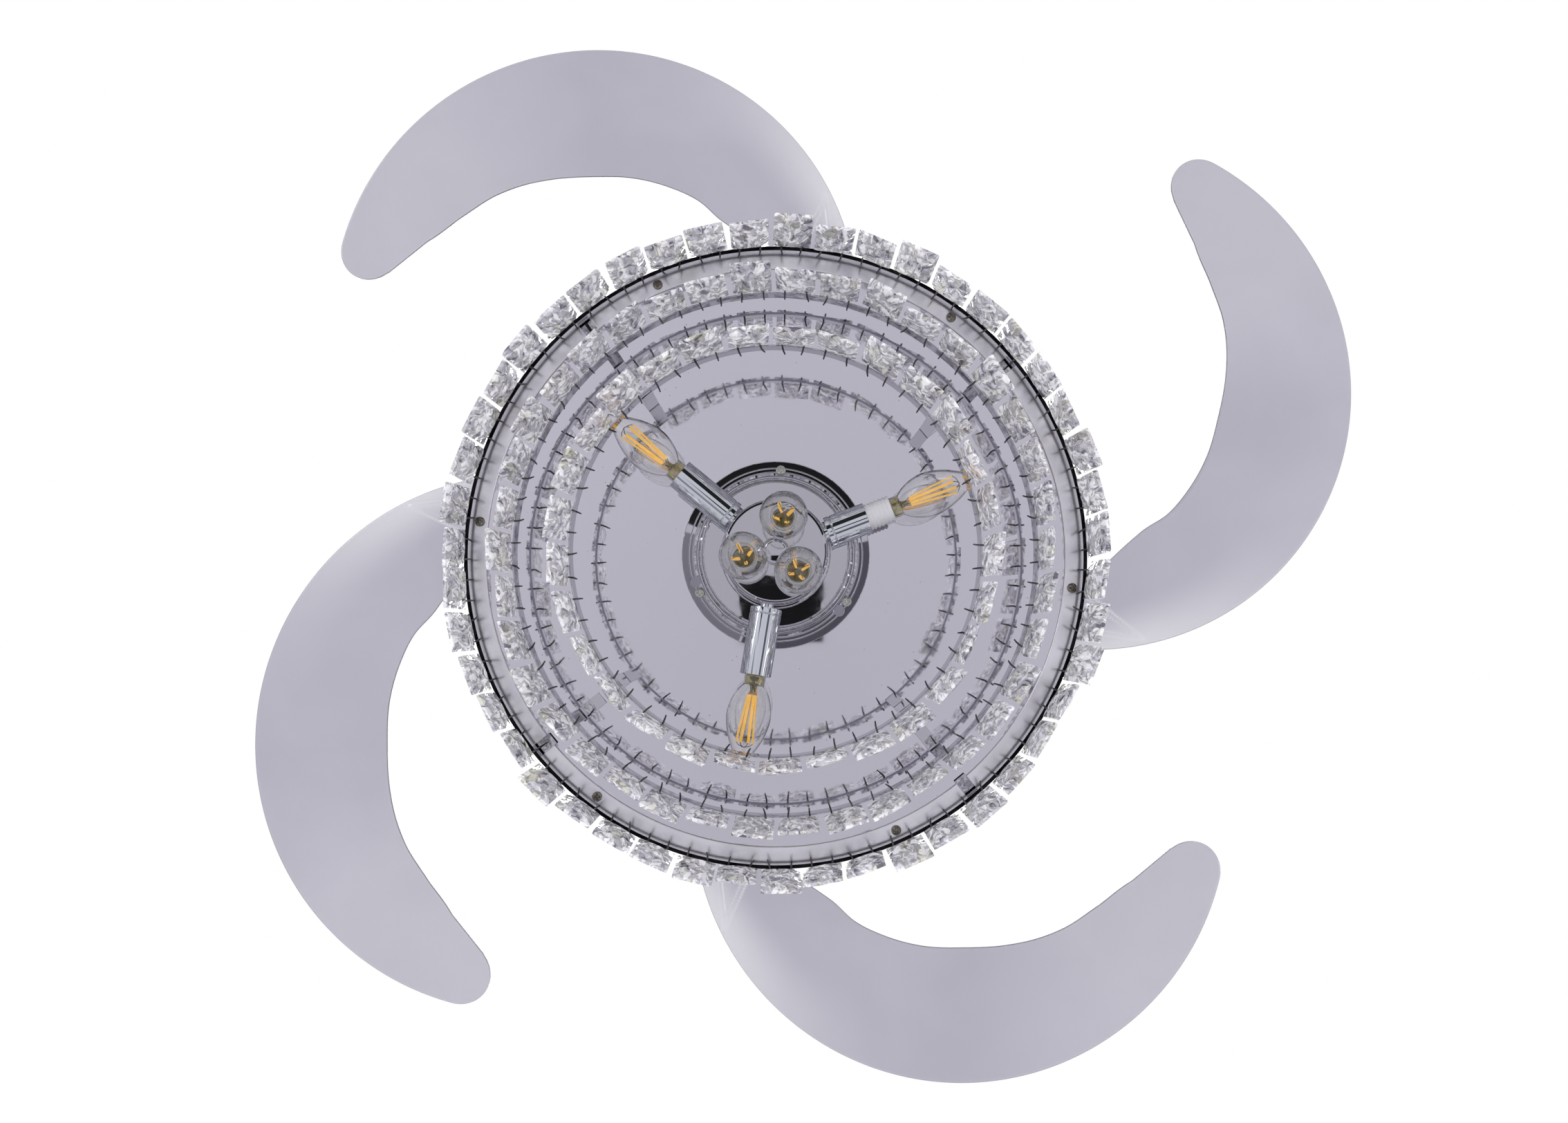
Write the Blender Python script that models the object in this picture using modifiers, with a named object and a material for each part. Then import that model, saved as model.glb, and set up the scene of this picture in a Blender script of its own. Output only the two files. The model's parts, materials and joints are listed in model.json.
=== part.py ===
"""Ceiling fan with four folding blades over a three-tier crystal light kit.

The ceiling is the plane z = 0 and the fan hangs below it on the Z axis. Depths of the light kit are
measured down from the lower face of the mirror plate. Directions round the axis are given as seen from
below, counter-clockwise from +X, so a direction of 90 degrees points along -Y.
"""

import math

import bmesh
import bpy
from mathutils import Matrix, Vector

MM = 0.001

# Gaps between neighbours
SEAT_GAP = 0.3 * MM
HOLE_CLEARANCE = 0.3 * MM
CUT_OVERRUN = 3.0 * MM
JOIN_OVERLAP = 0.4 * MM

# Smoothness of round pieces, in segments a turn
WIDE_STEPS = 48
BODY_STEPS = 28
SMALL_STEPS = 18
LAMP_STEPS = 12
FINE_STEPS = 8

# Ceiling bracket, whose ears stand inside the canopy's wall
CANOPY_RADIUS = 68.0 * MM
CANOPY_WALL = 1.2 * MM
BRACKET_EAR_GAP = 3.8 * MM
BRACKET_LENGTH = 2 * (CANOPY_RADIUS - CANOPY_WALL - BRACKET_EAR_GAP)
BRACKET_WIDTH = 32.0 * MM
BRACKET_SHEET = 2.5 * MM
BRACKET_EAR_WIDTH = 24.0 * MM
BRACKET_EAR_DROP = 18.0 * MM
BOX_SCREW_SPACING = 89.0 * MM
BOX_SCREW_RADIUS = 2.4 * MM
CRADLE_HALF_SPAN = 30.0 * MM
CRADLE_RING_RADIUS = 33.0 * MM
CRADLE_RING_HEIGHT = 6.0 * MM
CRADLE_RING_DROP = 44.0 * MM
CRADLE_SEAT_SLACK = 0.7 * MM
CRADLE_SLOT_WIDTH = 24.0 * MM

# Hanger ball and downrod
BALL_RADIUS = 25.0 * MM
BALL_CENTRE_DROP = 31.0 * MM
BALL_FLAT_RISE = 8.0 * MM
BALL_FLAT_FALL = 21.0 * MM
BALL_ARC_POINTS = 8
ROD_RADIUS = 10.5 * MM
ROD_WALL = 2.5 * MM
ROD_TOP_DROP = 22.0 * MM
ROD_LENGTH = 149.0 * MM
ROD_END_DROP = ROD_TOP_DROP + ROD_LENGTH
ROD_PIN_RADIUS = 3.0 * MM
ROD_PIN_LENGTH = 46.0 * MM

# Receiver box
RECEIVER_LENGTH = 54.0 * MM
RECEIVER_WIDTH = 30.0 * MM
RECEIVER_HEIGHT = 15.0 * MM
RECEIVER_EDGE = 2.0 * MM

# Canopy
CANOPY_DEPTH = 64.0 * MM
CANOPY_STRAIGHT = 34.0 * MM
CANOPY_FOOT_RADIUS = 26.0 * MM
CANOPY_HOLE_RADIUS = 14.0 * MM
CANOPY_CEILING_GAP = 0.5 * MM
CANOPY_ARC_POINTS = 5
CANOPY_SCREW_DROP = 10.0 * MM
CANOPY_BORE_DEPTH = 10.0 * MM
CANOPY_SCREW_RADIUS = 2.0 * MM
CANOPY_SCREW_REACH = 10.0 * MM
CANOPY_SCREW_HEAD_RADIUS = 4.0 * MM
CANOPY_SCREW_HEAD_HEIGHT = 2.2 * MM

# Motor shaft with its coupling collar
COLLAR_RADIUS = 17.0 * MM
COLLAR_GRIP = 21.0 * MM
COLLAR_TOP_DROP = ROD_END_DROP - COLLAR_GRIP
COLLAR_DEPTH_BELOW_ROD = 2.0 * MM
SHAFT_RADIUS = 8.5 * MM
SHAFT_BORE_RADIUS = 5.0 * MM
SHAFT_FLANGE_RADIUS = 14.0 * MM
SHAFT_FLANGE_HEIGHT = 3.0 * MM
SHAFT_THREAD_RADIUS = 7.5 * MM
SHAFT_TAIL = 9.0 * MM

# Coupling cover
COVER_BELL_RADIUS = 30.0 * MM
COVER_BELL_WALL = 1.2 * MM
COVER_BELL_HEADROOM = 5.0 * MM
COVER_BELL_TOP_DROP = COLLAR_TOP_DROP - COVER_BELL_HEADROOM
COVER_BELL_HEIGHT = 28.0 * MM
COVER_BELL_SHOULDER_SHARES = ((0.47, 0.0), (0.62, 0.09), (0.80, 0.32), (0.93, 0.66), (1.0, 1.0))

# Motor
ROTOR_RADIUS = 80.0 * MM
ROTOR_WALL = 4.0 * MM
ROTOR_PLATE = 2.5 * MM
ROTOR_ROD_GAP = 15.0 * MM
ROTOR_LID_DROP = ROD_END_DROP + ROTOR_ROD_GAP
ROTOR_LID_THICKNESS = 4.0 * MM
ROTOR_HEIGHT = 47.7 * MM
ROTOR_BASE_DROP = ROTOR_LID_DROP + ROTOR_HEIGHT
ROTOR_BOSS_RISE = 9.5 * MM
ROTOR_BOSS_RADIUS = 24.0 * MM
ROTOR_BOSS_FOOT_RADIUS = 28.0 * MM
ROTOR_LIP_RADIUS = 12.0 * MM
ROTOR_LIP_HEIGHT = 2.0 * MM
MAGNET_THICKNESS = 12.5 * MM
MAGNET_INNER_RADIUS = ROTOR_RADIUS - ROTOR_WALL - MAGNET_THICKNESS
MAGNET_HEIGHT = 24.0 * MM
MOTOR_AIR_GAP = 1.0 * MM
STATOR_RADIUS = MAGNET_INNER_RADIUS - MOTOR_AIR_GAP
STATOR_HEIGHT = 18.0 * MM
STATOR_TEETH = 12
STATOR_SLOT_FLOOR_RADIUS = 30.0 * MM
STATOR_TIP_DEPTH = 6.0 * MM
TOOTH_NECK_SHARE = 0.30
TOOTH_TIP_SHARE = 0.40
BEARING_RADIUS = 17.5 * MM
BEARING_HEIGHT = 10.0 * MM
BEARING_BOSS_WALL = 3.2 * MM

# Blade tray below the motor and cover dish above the blades
PIVOT_CIRCLE_RADIUS = 208.0 * MM
TRAY_RIM_MARGIN = 24.0 * MM
TRAY_RADIUS = PIVOT_CIRCLE_RADIUS + TRAY_RIM_MARGIN
TRAY_SHEET = 3.0 * MM
TRAY_RIM_WIDTH = 3.0 * MM
TRAY_RIM_RISE = 3.0 * MM
TRAY_HOLE_GAP = 1.0 * MM
DISH_SHEET = 1.5 * MM
DISH_HOLE_RADIUS = 45.0 * MM
DISH_SLOPE_DROP = 8.5 * MM

# Blades. The sweep is measured about the centre of the outer arc, from the pivot towards the tip.
BLADE_HUB_RADIUS = 17.0 * MM
BLADE_ARC_RADIUS = PIVOT_CIRCLE_RADIUS + BLADE_HUB_RADIUS
BLADE_SHEET = 3.0 * MM
BLADE_PIVOT_DIRECTIONS = (75.7, -14.3, 255.7, 165.7)
BLADE_OPENINGS = (78.0, 93.0, 78.0, 78.0)
BLADE_RAMP_RISE = 12.0 * MM
BLADE_RAMP_TURN = 82.0
BLADE_FLAT_TURN = 8.0
BLADE_COLUMNS = 20
BLADE_TIP_CENTRE_TURN = 166.6
BLADE_TIP_RADIUS = 25.0 * MM
BLADE_CAP_ANGLES = (20.0, 45.0, 68.0, 90.0)
BLADE_INNER_EDGE_SHARES = (
    (0.06, 0.829), (0.12, 0.700), (0.213, 0.593), (0.286, 0.573), (0.359, 0.547), (0.448, 0.524),
    (0.554, 0.509), (0.662, 0.528), (0.738, 0.556), (0.797, 0.582), (0.876, 0.620), (0.954, 0.691),
    (1.0, 0.778),
)

# Blade pivots
PIN_RADIUS = 4.0 * MM
PIN_COLLAR_RADIUS = 5.2 * MM
PIN_LIFT = 6.0 * MM
PIN_HEAD_RADIUS = 8.0 * MM
PIN_HEAD_HEIGHT = 2.0 * MM
PIN_FOOT_RADIUS = 7.0 * MM
SPRING_WIRE_RADIUS = 0.5 * MM
SPRING_COIL_RADIUS = 6.6 * MM
SPRING_PITCH = 1.5 * MM
SPRING_TURNS = 2.0
SPRING_POINTS_A_TURN = 8

# Mirror plate
PLATE_SPACE = 13.3 * MM
PLATE_LOWER_DROP = ROTOR_BASE_DROP + PLATE_SPACE
PLATE_RADIUS = 251.0 * MM
PLATE_SHEET = 2.0 * MM
NUT_RADIUS = 13.0 * MM
NUT_HEIGHT = 6.0 * MM

# Crystal bands: outer radius, lower edge below the plate, band height
BAND_SHEET = 1.2 * MM
PLATE_OVERHANG = 0.3 * MM
OUTER_BAND_RADIUS = PLATE_RADIUS - PLATE_OVERHANG
OUTER_BAND_DEPTH = 11.0 * MM
OUTER_BAND_EDGE_WIDTH = 2.7 * MM
OUTER_FLANGE_WIDTH = 15.2 * MM
OUTER_TAB_REACH = 17.0 * MM
OUTER_TIER_STEP = 44.2 * MM
MIDDLE_BAND_RADIUS = OUTER_BAND_RADIUS - OUTER_TIER_STEP
MIDDLE_BAND_DEPTH = 38.0 * MM
MIDDLE_BAND_HEIGHT = 12.0 * MM
MIDDLE_FOOT_LENGTH = 23.0 * MM
INNER_TIER_STEP = 49.9 * MM
INNER_BAND_RADIUS = MIDDLE_BAND_RADIUS - INNER_TIER_STEP
INNER_BAND_DEPTH = 73.0 * MM
INNER_BAND_HEIGHT = 12.0 * MM
INNER_FOOT_LENGTH = 20.0 * MM
LEG_WIDTH = 10.5 * MM
LEG_SHEET = 1.2 * MM
LEG_COUNT = 4
LEG_FIRST_DIRECTION = 39.5
PEG_WIDTH = 1.6 * MM
PEG_SHEET = 0.8 * MM
PEG_RISE = 0.2 * MM
PEG_ROOT = 1.0 * MM
PEG_EVERY = 4
PLATE_SCREW_INSET = 8.2 * MM
PLATE_SCREW_CIRCLE_RADIUS = OUTER_BAND_RADIUS - PLATE_SCREW_INSET
PLATE_SCREW_COUNT = 6
PLATE_SCREW_FIRST_DIRECTION = 53.6
SCREW_RADIUS = 2.0 * MM
SCREW_HEAD_RADIUS = 4.0 * MM
SCREW_HEAD_HEIGHT = 2.0 * MM
SCREW_TAIL = 2.0 * MM
SCREW_CROWN_SHARE = 0.8

# Crystals, cut as bevelled bars
CRYSTAL_WIDTH = 30.5 * MM
CRYSTAL_LENGTH = 64.0 * MM
CRYSTAL_THICKNESS = 7.0 * MM
CRYSTAL_GIRDLE = 2.4 * MM
CRYSTAL_BEVEL = 6.0 * MM
CRYSTAL_RISE = 2.8 * MM
CRYSTAL_STANDOFF = 2.6 * MM
CRYSTAL_PITCH = 34.2 * MM
OUTER_CRYSTAL_DIRECTION = 2.84
MIDDLE_CRYSTAL_DIRECTION = 0.32
INNER_CRYSTAL_DIRECTION = -1.8

# Lamp pan and cup
PAN_RADIUS = 76.5 * MM
PAN_SHEET = 1.2 * MM
PAN_FLANGE_WIDTH = 12.5 * MM
PAN_DRUM_INSET = 14.5 * MM
PAN_DRUM_RADIUS = PAN_RADIUS - PAN_DRUM_INSET
PAN_DEPTH = 12.0 * MM
PAN_ROUNDING = 2.0 * MM
PAN_HOLE_RADIUS = 30.0 * MM
PAN_SCREW_INSET = 7.5 * MM
PAN_SCREW_CIRCLE_RADIUS = PAN_RADIUS - PAN_SCREW_INSET
PAN_SCREW_COUNT = 3
PAN_SCREW_FIRST_DIRECTION = 86.6
KEYHOLE_RADIUS = 4.6 * MM
KEYHOLE_TURN = 8.0
KEYHOLE_SCREWS = (1, 2)
CUP_RADIUS = 41.0 * MM
CUP_ROOT_WIDTH = 3.0 * MM
CUP_ROOT_RADIUS = CUP_RADIUS + CUP_ROOT_WIDTH
CUP_SHEET = 1.2 * MM
CUP_DEPTH = 52.0 * MM
CUP_ROUNDING = 2.0 * MM
CAP_RADIUS = 9.5 * MM
CAP_HEIGHT = 3.0 * MM
CAP_EDGE_SHARE = 0.6
CAP_FLAT_SHARE = 0.7

# Lamps
SIDE_LAMP_DEPTH = 35.0 * MM
SIDE_LAMP_GAP = 3.5 * MM
SIDE_LAMP_TILT = 5.0
SIDE_LAMP_FIRST_DIRECTION = 20.7
DOWN_LAMP_INSET = 17.0 * MM
DOWN_LAMP_CIRCLE_RADIUS = CUP_RADIUS - DOWN_LAMP_INSET
DOWN_LAMP_FIRST_DIRECTION = 75.0
LAMP_COUNT = 3
SLEEVE_WALL = 1.2 * MM
SLEEVE_FLOOR = 2.4 * MM
SIDE_SLEEVE_LENGTH = 53.0 * MM
SHORT_SLEEVE_LENGTH = 33.0 * MM
SHORT_SLEEVE_LAMP = 0
DOWN_SLEEVE_LENGTH = 28.0 * MM
DOWN_BASE_PROUD = 1.0 * MM
NIPPLE_RADIUS = 5.0 * MM
NIPPLE_LENGTH = 8.0 * MM
DOWN_NIPPLE_LENGTH = 6.0 * MM
BULB_BASE_RADIUS = 10.8 * MM
BULB_NECK_RADIUS = 8.4 * MM
BULB_NECK_LENGTH = 7.5 * MM
BULB_GLASS_RADIUS = 17.5 * MM
BULB_GLASS_LENGTH = 65.0 * MM
BULB_GLASS_SHARES = (
    (0.06, 0.66), (0.18, 0.88), (0.32, 1.0), (0.50, 0.94), (0.68, 0.72), (0.85, 0.38), (0.95, 0.16),
)

TINY_MERGE = 0.00001

FAN = bpy.data.collections.new("ceiling_fan")
CUTTERS = bpy.data.collections.new("cutters")


# Scene and materials


def clear_scene():
    for old in list(bpy.data.objects):
        bpy.data.objects.remove(old, do_unlink=True)
    for group in (FAN, CUTTERS):
        bpy.context.scene.collection.children.link(group)
    CUTTERS.hide_render = True


def finish_material(name, colour, roughness, metallic=0.0, transmission=0.0):
    """A Principled material in the colour and finish that the photo shows."""
    made = bpy.data.materials.new(name)
    made.use_nodes = True
    shader = made.node_tree.nodes["Principled BSDF"]
    shader.inputs["Base Color"].default_value = (*colour, 1.0)
    shader.inputs["Roughness"].default_value = roughness
    shader.inputs["Metallic"].default_value = metallic
    shader.inputs["Transmission Weight"].default_value = transmission
    made.diffuse_color = (*colour, 1.0)
    return made


CHROME = finish_material("polished_chrome", (0.78, 0.78, 0.82), 0.06, 1.0)
MIRROR = finish_material("mirror_steel", (0.82, 0.82, 0.87), 0.03, 1.0)
ACRYLIC = finish_material("clear_acrylic", (0.66, 0.65, 0.74), 0.12, 0.0, 0.6)
CRYSTAL = finish_material("cut_crystal", (0.92, 0.93, 0.95), 0.02, 0.0, 0.9)
BULB_GLASS = finish_material("bulb_glass", (0.96, 0.96, 0.93), 0.02, 0.0, 0.9)
STEEL = finish_material("zinc_steel", (0.56, 0.57, 0.60), 0.35, 1.0)
SPRING_STEEL = finish_material("spring_steel", (0.32, 0.33, 0.35), 0.3, 1.0)
MOTOR_CASE = finish_material("motor_case", (0.70, 0.70, 0.72), 0.3, 0.9)
COPPER = finish_material("wound_stator", (0.55, 0.30, 0.16), 0.45, 0.8)
WHITE_PLASTIC = finish_material("white_plastic", (0.85, 0.85, 0.86), 0.4)
SILVER_PAINT = finish_material("silver_paint", (0.74, 0.74, 0.77), 0.25, 0.6)


# Building blocks


def direction(turn):
    """Unit vector of a direction in degrees, as seen from below."""
    return Vector((math.cos(math.radians(turn)), -math.sin(math.radians(turn)), 0.0))


def shade_round(mesh):
    mesh.shade_smooth()
    mesh.set_sharp_from_angle(angle=math.radians(30.0))


def add_part(name, mesh, material, group=FAN):
    obj = bpy.data.objects.new(name, mesh)
    group.objects.link(obj)
    if material:
        mesh.materials.append(material)
    if group is CUTTERS:
        obj.hide_render = True
        obj.display_type = "WIRE"
    return obj


def mesh_of(name, build):
    """A mesh filled by a function that works on an empty bmesh."""
    made = bpy.data.meshes.new(name)
    shape = bmesh.new()
    build(shape)
    bmesh.ops.recalc_face_normals(shape, faces=shape.faces)
    shape.to_mesh(made)
    shape.free()
    return made


def turned(name, profile, material, steps=BODY_STEPS, closed=True, group=FAN):
    """A turned piece. The profile of (radius, height) points runs down its outer side."""
    made = bpy.data.meshes.new(name)
    edges = [(i, i + 1) for i in range(len(profile) - 1)]
    if closed:
        edges.append((len(profile) - 1, 0))
    made.from_pydata([(radius, 0.0, height) for radius, height in profile], edges, [])
    obj = add_part(name, made, material, group)
    spin = obj.modifiers.new("turn", "SCREW")
    spin.axis = "Z"
    spin.steps = steps
    spin.render_steps = steps
    spin.use_merge_vertices = True
    spin.merge_threshold = TINY_MERGE
    spin.use_smooth_shade = False
    return obj


def block(name, size, centre, material=None, group=FAN, turn=0.0):
    """A box of the given size, turned about Z by a direction as seen from below."""

    def build(shape):
        bmesh.ops.create_cube(shape, size=1.0)
        bmesh.ops.scale(shape, vec=Vector(size), verts=shape.verts)

    obj = add_part(name, mesh_of(name, build), material, group)
    obj.location = centre
    obj.rotation_euler = (0.0, 0.0, -math.radians(turn))
    return obj


def drum(name, radius, height, centre, group=CUTTERS, steps=SMALL_STEPS, axis=None, material=None):
    """A plain cylinder centred on a point, along Z or along the axis given."""

    def build(shape):
        bmesh.ops.create_cone(
            shape, cap_ends=True, segments=steps, radius1=radius, radius2=radius, depth=height
        )

    obj = add_part(name, mesh_of(name, build), material, group)
    obj.location = centre
    if axis is not None:
        obj.rotation_mode = "QUATERNION"
        obj.rotation_quaternion = axis.to_track_quat("Z", "Y")
    return obj


def combine(obj, other, operation):
    """Cuts or joins another object. Neither piece touches the other's open side."""
    step = obj.modifiers.new(operation.lower() + "_" + other.name, "BOOLEAN")
    step.operation = operation
    step.solver = "EXACT"
    step.object = other
    return obj


def cut(obj, other):
    return combine(obj, other, "DIFFERENCE")


def join(obj, other):
    return combine(obj, other, "UNION")


def helper(name, build_function, *inputs, **settings):
    return build_function(name, *inputs, group=CUTTERS, **settings)


def joined_blocks(name, boxes):
    """Separate boxes in one helper mesh, each given as (size, centre, turn)."""

    def build(shape):
        for size, centre, turn in boxes:
            new = bmesh.ops.create_cube(shape, size=1.0)["verts"]
            bmesh.ops.scale(shape, vec=Vector(size), verts=new)
            spin = Vector((0.0, 0.0, 1.0))
            bmesh.ops.rotate(shape, verts=new, cent=(0.0, 0.0, 0.0), matrix=turn_matrix(spin, turn))
            bmesh.ops.translate(shape, verts=new, vec=centre)

    return add_part(name, mesh_of(name, build), None, CUTTERS)


def turn_matrix(axis, turn):
    return Matrix.Rotation(-math.radians(turn), 3, axis)


# Ceiling bracket, ball, rod, receiver and canopy


def ball_radius_at(drop):
    """Radius of the hanger ball on the level that lies this far below the ceiling."""
    return math.sqrt(BALL_RADIUS**2 - (drop - BALL_CENTRE_DROP) ** 2)


def build_bracket():
    plate = block(
        "ceiling_bracket",
        (BRACKET_LENGTH, BRACKET_WIDTH, BRACKET_SHEET),
        (0.0, 0.0, -BRACKET_SHEET / 2),
        STEEL,
    )
    ring_top = CRADLE_RING_DROP
    ring_low = CRADLE_RING_DROP + CRADLE_RING_HEIGHT
    seat_top = ball_radius_at(ring_top) + CRADLE_SEAT_SLACK
    seat_low = ball_radius_at(ring_low) + CRADLE_SEAT_SLACK
    ring = helper(
        "cradle_ring",
        turned,
        [
            (seat_top, -ring_top),
            (CRADLE_RING_RADIUS, -ring_top),
            (CRADLE_RING_RADIUS, -ring_low),
            (seat_low, -ring_low),
        ],
        None,
    )
    slot = helper(
        "cradle_slot",
        block,
        (CRADLE_SLOT_WIDTH, CRADLE_RING_RADIUS + CUT_OVERRUN, CRADLE_RING_HEIGHT + 2 * CUT_OVERRUN),
        (0.0, -(CRADLE_RING_RADIUS + CUT_OVERRUN) / 2, -(ring_top + ring_low) / 2),
    )
    cut(ring, slot)
    inside = BRACKET_SHEET / 2
    leg_height = ring_low - JOIN_OVERLAP - inside
    ear_height = BRACKET_EAR_DROP - inside
    ear_centre = BRACKET_LENGTH / 2 - BRACKET_SHEET / 2 - JOIN_OVERLAP
    strips = []
    for side in (-1.0, 1.0):
        strips.append(
            (
                (BRACKET_SHEET, BRACKET_EAR_WIDTH, leg_height),
                (side * CRADLE_HALF_SPAN, 0.0, -inside - leg_height / 2),
                0.0,
            )
        )
        strips.append(
            (
                (BRACKET_SHEET, BRACKET_EAR_WIDTH, ear_height),
                (side * ear_centre, 0.0, -inside - ear_height / 2),
                0.0,
            )
        )
    join(plate, joined_blocks("bracket_strips", strips))
    join(plate, ring)
    for side in (-1.0, 1.0):
        hole = drum(
            "box_screw_hole",
            BOX_SCREW_RADIUS,
            BRACKET_SHEET + 2 * CUT_OVERRUN,
            (side * BOX_SCREW_SPACING / 2, 0.0, -BRACKET_SHEET / 2),
            steps=FINE_STEPS,
        )
        cut(plate, hole)
    screw_bore = drum(
        "canopy_screw_bore",
        CANOPY_SCREW_RADIUS + HOLE_CLEARANCE,
        2 * (CANOPY_RADIUS + CUT_OVERRUN),
        (0.0, 0.0, -CANOPY_SCREW_DROP),
        steps=FINE_STEPS,
        axis=Vector((1.0, 0.0, 0.0)),
    )
    clear_middle = helper(
        "canopy_bore_relief",
        block,
        (BRACKET_LENGTH - 2 * CANOPY_BORE_DEPTH, BRACKET_WIDTH, CANOPY_SCREW_DROP),
        (0.0, 0.0, -CANOPY_SCREW_DROP),
    )
    cut(screw_bore, clear_middle)
    cut(plate, screw_bore)
    return screw_bore


def build_hanging(screw_bore):
    centre = -BALL_CENTRE_DROP
    bore = ROD_RADIUS + HOLE_CLEARANCE
    top_angle = math.asin(BALL_FLAT_RISE / BALL_RADIUS)
    low_angle = -math.asin(BALL_FLAT_FALL / BALL_RADIUS)
    profile = [(bore, centre + BALL_FLAT_RISE)]
    for i in range(BALL_ARC_POINTS):
        angle = top_angle + (low_angle - top_angle) * i / (BALL_ARC_POINTS - 1)
        profile.append((BALL_RADIUS * math.cos(angle), centre + BALL_RADIUS * math.sin(angle)))
    profile.append((bore, centre - BALL_FLAT_FALL))
    ball = turned("hanger_ball", profile, WHITE_PLASTIC, SMALL_STEPS)

    rod_low = -ROD_END_DROP
    rod = turned(
        "downrod",
        [
            (ROD_RADIUS - ROD_WALL, -ROD_TOP_DROP),
            (ROD_RADIUS, -ROD_TOP_DROP),
            (ROD_RADIUS, rod_low),
            (ROD_RADIUS - ROD_WALL, rod_low),
        ],
        CHROME,
        SMALL_STEPS,
    )
    pin_bore = drum(
        "rod_pin_bore",
        ROD_PIN_RADIUS + HOLE_CLEARANCE,
        2 * (BALL_RADIUS + CUT_OVERRUN),
        (0.0, 0.0, centre),
        steps=FINE_STEPS,
        axis=Vector((1.0, 0.0, 0.0)),
    )
    cut(ball, pin_bore)
    cut(rod, pin_bore)
    drum(
        "downrod_pin",
        ROD_PIN_RADIUS,
        ROD_PIN_LENGTH,
        (0.0, 0.0, centre),
        FAN,
        FINE_STEPS,
        Vector((1.0, 0.0, 0.0)),
        STEEL,
    )
    receiver = block(
        "receiver_box",
        (RECEIVER_LENGTH, RECEIVER_WIDTH, RECEIVER_HEIGHT),
        (0.0, 0.0, -BRACKET_SHEET - SEAT_GAP - RECEIVER_HEIGHT / 2),
        WHITE_PLASTIC,
    )
    edge = receiver.modifiers.new("edge", "BEVEL")
    edge.width = RECEIVER_EDGE
    edge.segments = 1

    inner = CANOPY_RADIUS - CANOPY_WALL
    outside = [(CANOPY_RADIUS, -CANOPY_CEILING_GAP), (CANOPY_RADIUS, -CANOPY_STRAIGHT)]
    inside = [(inner, -CANOPY_CEILING_GAP), (inner, -CANOPY_STRAIGHT)]
    for i in range(1, CANOPY_ARC_POINTS):
        angle = math.pi / 2 * i / (CANOPY_ARC_POINTS - 1)
        for side, wall in ((outside, 0.0), (inside, CANOPY_WALL)):
            across = CANOPY_RADIUS - wall - CANOPY_FOOT_RADIUS
            down = CANOPY_DEPTH - wall - CANOPY_STRAIGHT
            radius = CANOPY_FOOT_RADIUS + across * math.cos(angle)
            side.append((radius, -CANOPY_STRAIGHT - down * math.sin(angle)))
    outside.append((CANOPY_HOLE_RADIUS, -CANOPY_DEPTH))
    inside.append((CANOPY_HOLE_RADIUS, -CANOPY_DEPTH + CANOPY_WALL))
    canopy = turned("canopy", outside + inside[::-1], CHROME)
    cut(canopy, screw_bore)
    for index, side in enumerate((-1.0, 1.0)):
        out = CANOPY_RADIUS + SEAT_GAP
        screw = turned(
            f"canopy_screw_{index + 1}",
            screw_profile(
                CANOPY_SCREW_RADIUS,
                CANOPY_SCREW_HEAD_RADIUS,
                CANOPY_SCREW_HEAD_HEIGHT,
                CANOPY_SCREW_REACH,
            ),
            CHROME,
            FINE_STEPS,
            closed=False,
        )
        screw.location = (side * out, 0.0, -CANOPY_SCREW_DROP)
        screw.rotation_euler = (0.0, side * math.pi / 2, 0.0)


def screw_profile(radius, head_radius, head_height, reach):
    """Pan head above z = 0 and shank below it."""
    return [
        (0.0, head_height),
        (head_radius * SCREW_CROWN_SHARE, head_height),
        (head_radius, 0.0),
        (radius, 0.0),
        (radius, -reach),
        (0.0, -reach),
    ]


# Motor and its shaft


def build_shaft():
    collar_low = ROD_END_DROP + COLLAR_DEPTH_BELOW_ROD
    flange_low = PLATE_LOWER_DROP - PLATE_SHEET - SEAT_GAP
    tail = PLATE_LOWER_DROP + SHAFT_TAIL
    socket = ROD_RADIUS + HOLE_CLEARANCE
    turned(
        "motor_shaft",
        [
            (socket, -COLLAR_TOP_DROP),
            (COLLAR_RADIUS, -COLLAR_TOP_DROP),
            (COLLAR_RADIUS, -collar_low),
            (SHAFT_RADIUS, -collar_low),
            (SHAFT_RADIUS, -flange_low + SHAFT_FLANGE_HEIGHT),
            (SHAFT_FLANGE_RADIUS, -flange_low + SHAFT_FLANGE_HEIGHT),
            (SHAFT_FLANGE_RADIUS, -flange_low),
            (SHAFT_THREAD_RADIUS, -flange_low),
            (SHAFT_THREAD_RADIUS, -tail),
            (SHAFT_BORE_RADIUS, -tail),
            (SHAFT_BORE_RADIUS, -ROD_END_DROP - SEAT_GAP),
            (socket, -ROD_END_DROP - SEAT_GAP),
        ],
        STEEL,
        SMALL_STEPS,
    )
    neck = ROD_RADIUS + HOLE_CLEARANCE
    outside = [(neck, -COVER_BELL_TOP_DROP)]
    inside = [(neck, -COVER_BELL_TOP_DROP - COVER_BELL_WALL)]
    for reach, fall in COVER_BELL_SHOULDER_SHARES:
        height = -COVER_BELL_TOP_DROP - fall * COVER_BELL_HEIGHT
        outside.append((COVER_BELL_RADIUS * reach, height))
        wall_height = min(height, -COVER_BELL_TOP_DROP - COVER_BELL_WALL)
        inside.append((COVER_BELL_RADIUS * reach - COVER_BELL_WALL, wall_height))
    turned("coupling_cover", outside + inside[::-1], CHROME, SMALL_STEPS)


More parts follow.
